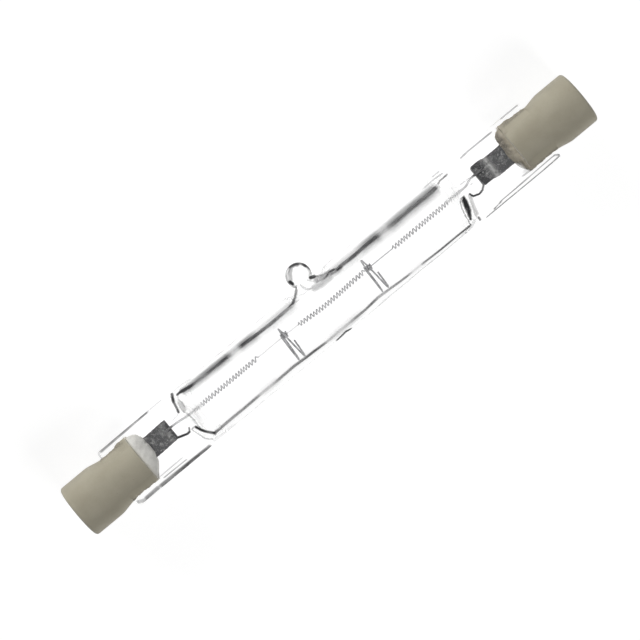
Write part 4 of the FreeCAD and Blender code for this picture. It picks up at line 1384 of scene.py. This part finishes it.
def slot_slab(side, face):
    """The thin layer between the blade's web and the slot's wall."""
    x, v = np.meshgrid(np.linspace(CAP_START, BLADE_END - 0.01, 40), np.linspace(-1, 1, 41), indexing="ij")
    s = v * (SLAB_HALF + 0.05 * np.sin(9 * x) + 0.03 * np.sin(23 * x + face))
    upper = np.full_like(x, SLOT_HALF - 0.004)
    lower = np.minimum(blade_height(x, s) + SKIN, SLOT_HALF - 0.008)
    return two_faces(side, face, (x, s, upper), (x, s, lower))


def slot_end_fill(side):
    """The cement past the blade's end."""
    ends = np.linspace(BLADE_END + 0.005, SLOT_END - 0.005, 3)
    x, v = np.meshgrid(ends, np.linspace(-1, 1, 31), indexing="ij")
    s, half = v * (SLAB_HALF - 0.05), np.full_like(x, SLOT_HALF - 0.004)
    return two_faces(side, 1, (x, s, half), (x, s, -half))


def cement_shell(side):
    """All the cement of one end."""
    shells = [bead_shell(side, face) for face in (1, -1)] + [slot_slab(side, face) for face in (1, -1)]
    shells += [prong_ridge(side, face, way) for face in (1, -1) for way in (1, -1)]
    return join_shells(*shells, slot_end_fill(side))


for side, word in SIDES:
    points, faces = cement_shell(side)
    paste = make_piece("cement_fill_" + word, points, faces, "cement", ["cement_" + word],
                       [CEMENTS[side]], crease=60)
    reach, s = np.abs(points[:, 0]), points[:, 1]
    before = CAP_START - reach
    bead_stain = (0.25 + 0.75 * ease(s, -1.0, 2.0)) * (ease(before, 0.2, 0.8) if side > 0 else 0.14)
    ridge_stain = 0.8 * ease(reach, CAP_START, 30) * ease(np.abs(s), 2.8, 3.1)
    thin = 0.85 * ease(-s, 0.6, 2.0) * ease(before, 0.05, 0.5) * (side > 0)
    dust_start, dust_end = (0, 0.8) if side > 0 else (-0.3, 0.25)
    dust = ease(reach, CAP_START + dust_start, CAP_START + dust_end)
    paint(paste, stain=np.maximum(bead_stain, ridge_stain), thin=thin, dust=dust)

# %% [markdown]
# ## Contacts
# In each cap's recess sits a small nickel-plated button on a hollow stem. It is round, so it is
# turned from its outline. The photograph doesn't show it, so its shallow dimple is a guess.

# %% Contact finish
def plated_contact():
    net = Finish("plated_contact")
    wear = net.noise(net.place(), 2.5, 4.0)
    tarnish = net.blend(wear.step(0.4, 0.7), (0.62, 0.6, 0.56, 1), (0.42, 0.39, 0.34, 1))
    return net.surface(net.principled({
        "Base Color": tarnish, "Metallic": 0.9, "Roughness": 0.25 + wear * 0.3,
        "Normal": net.bump(wear, 0.15, 0.02 * MM)}))


contact_finish = plated_contact()
print("contact finish:", contact_finish.name)

# %% Contact buttons
STEM_RADIUS, STEM_BORE, BUTTON_RADIUS, LEAD_REACH = 0.7, 0.37, 1.5, 1.3
FACE_OUTLINE = ((0.2, 1.5), (0.14, 1.46), (0.06, 1.36), (0.02, 1.2), (0, 0.9), (0, 0.62), (0.05, 0.5),
                (0.09, 0.3), (0.1, 0.15), (0.1, 0))  # depth behind the contact's face, radius


def turned_shell(outline, around=72):
    """A closed turned form from (x, radius) that starts and ends on the axis."""
    angles = [2 * math.pi * k / around for k in range(around)]
    points = turned_rings(outline[1:-1], angles)
    faces = tube_faces(len(outline) - 2, around)
    first, last = len(points), len(points) + 1
    ring = (len(outline) - 3) * around
    faces += [((k + 1) % around, k, first) for k in range(around)]
    faces += [(ring + k, ring + (k + 1) % around, last) for k in range(around)]
    return np.vstack([points, [[outline[0][0], 0, 0], [outline[-1][0], 0, 0]]]), faces


bore = [(STEM_END + LEAD_REACH, 0), (STEM_END + LEAD_REACH, STEM_BORE), (STEM_END, STEM_BORE)]
stem = [(STEM_END, STEM_RADIUS - 0.06), (STEM_END + 0.06, STEM_RADIUS), (BUTTON_SEAT, STEM_RADIUS)]
back = [(BUTTON_SEAT, BUTTON_RADIUS - 0.06), (BUTTON_SEAT + 0.06, BUTTON_RADIUS)]
front = [(CONTACT_FACE - behind, radius) for behind, radius in FACE_OUTLINE]
button_points, button_faces = turned_shell(bore + stem + back + front)
print("points of a button:", len(button_points))

# %% [markdown]
# ## Outer leads
# The outer lead runs from the foil through the pinch and the cement into the contact's stem. It
# starts on the foil and bends to the lamp's middle behind the blade. Each end of the lamp gets its
# button and its lead together.

# %% Contacts and outer leads
OUTER_LEAD, OUTER_LIFT, FOIL_OVERLAP = 0.35, 0.27, 1.6


def outer_lead_corners(side):
    """Corners from the weld on the foil to the inside of the stem."""
    return [(FOIL_END[side] - FOIL_OVERLAP, 0.0, OUTER_LIFT), (SLOT_END + 0.1, 0.0, OUTER_LIFT),
            (STEM_END - 0.95, 0.0, 0.17), (STEM_END - 0.3, 0.0, 0.0),
            (STEM_END + LEAD_REACH - 0.02, 0.0, 0.0)]


for side, word in SIDES:
    shell = mirrored(button_points, side)
    make_piece("contact_face_" + word, shell, facing_out(shell, button_faces), "contact_metal",
               ["contact_button_" + word], [contact_finish], crease=35)
    wound_wire("outer_lead_wire_" + word, bent_guide(side, outer_lead_corners(side)), OUTER_LEAD,
               molybdenum, ["outer_lead_" + word], 20, 3)

# %% [markdown]
# ## Camera
# The camera looks square onto the pinches, as in the photograph, from far away with a long lens. The
# lamp's middle and its turn in the picture were measured in the photograph.

# %% Camera
PHOTO_SIZE, PHOTO_MIDDLE, PIXELS_PER_MM, TURN = 640, (329.0, 304.5), 8.3167, math.radians(39.704)
DISTANCE, SENSOR = 350.0, 36.0
right = math.cos(TURN) * ALONG - math.sin(TURN) * TIPWARDS
up = math.sin(TURN) * ALONG + math.cos(TURN) * TIPWARDS
aim = AXIS - right * (PHOTO_MIDDLE[0] - PHOTO_SIZE / 2) / PIXELS_PER_MM
aim = aim - up * (PHOTO_SIZE / 2 - PHOTO_MIDDLE[1]) / PIXELS_PER_MM
camera = add_object("camera", bpy.data.cameras.new("camera"))
camera.data.sensor_width = SENSOR
camera.data.lens = PIXELS_PER_MM * SENSOR / PHOTO_SIZE * DISTANCE
camera.data.clip_start, camera.data.clip_end = 0.01, 10
axes = Matrix([(*right, 0), (*up, 0), (*FACING, 0), (0, 0, 0, 1)]).transposed()
camera.matrix_world = Matrix.Translation(Vector((aim + FACING * DISTANCE) * MM)) @ axes
bpy.context.scene.camera = camera
print("lens in mm:", round(camera.data.lens, 1))

# %% [markdown]
# ## Light
# Soft light comes from the tip's side and above, with a weaker fill. The camera and the glass see a
# white world, and everything else sees a dim one, so that the white does not wash out the ceramic.

# %% Light
def soft_lamp(name, direction, distance, size, power):
    lamp = add_object(name, bpy.data.lights.new(name, "AREA"))
    lamp.data.shape, lamp.data.size, lamp.data.energy = "DISK", size, power
    way = Vector(direction).normalized()
    lamp.location = way * distance
    lamp.rotation_euler = way.to_track_quat("Z", "Y").to_euler()
    lamp.visible_glossy = lamp.visible_transmission = False


soft_lamp("key", (-0.1, 0.98, 0.2), 0.6, 0.3, 3.3)
soft_lamp("fill", (0.1, -0.83, 0.57), 0.7, 0.4, 2.9)

world = Finish("studio", bpy.data.worlds.new("studio"))
room = world.add("ShaderNodeBackground", {}, {"Color": (0.05, 0.05, 0.05, 1), "Strength": 1.0})
white = world.add("ShaderNodeBackground", {}, {"Color": (1, 1, 1, 1), "Strength": 1.0})
bpy.context.scene.world = world.surface(world.mixed(world.seen_directly(), room, white))

# %% [markdown]
# ## Floor
# The floor is white: it glows a little by itself and takes the rest from the lamps, so that a soft
# shadow stays under the lamp. It lies a hair below the ground, where the lamp's lowest points rest.

# %% Floor
FLOOR_HALF, FLOOR_LEVEL = 1.5, -2e-5
net = Finish("white_floor")
paper = net.add("ShaderNodeBsdfDiffuse", {}, {"Color": (0.3, 0.3, 0.3, 1)})
pale = net.add("ShaderNodeBsdfDiffuse", {}, {"Color": (0.8, 0.8, 0.8, 1)})
glow = net.add("ShaderNodeEmission", {}, {"Color": (1, 1, 1, 1), "Strength": 0.88})
lit = net.add("ShaderNodeAddShader", {}, {0: paper.outputs[0], 1: glow.outputs[0]})
floor_mesh = bpy.data.meshes.new("floor")
corners = [(x * FLOOR_HALF, y * FLOOR_HALF, FLOOR_LEVEL) for x, y in ((-1, -1), (1, -1), (1, 1), (-1, 1))]
floor_mesh.from_pydata(corners, [], [(0, 1, 2, 3)])
floor_mesh.materials.append(net.surface(net.mixed(net.seen_directly(), pale, lit)))
floor = add_object("floor", floor_mesh)
print("floor laid at", FLOOR_LEVEL, "m")

# %% [markdown]
# ## View transform
# The render shows its colours with the Standard view transform.

# %% View transform
bpy.context.scene.view_settings.view_transform = "Standard"
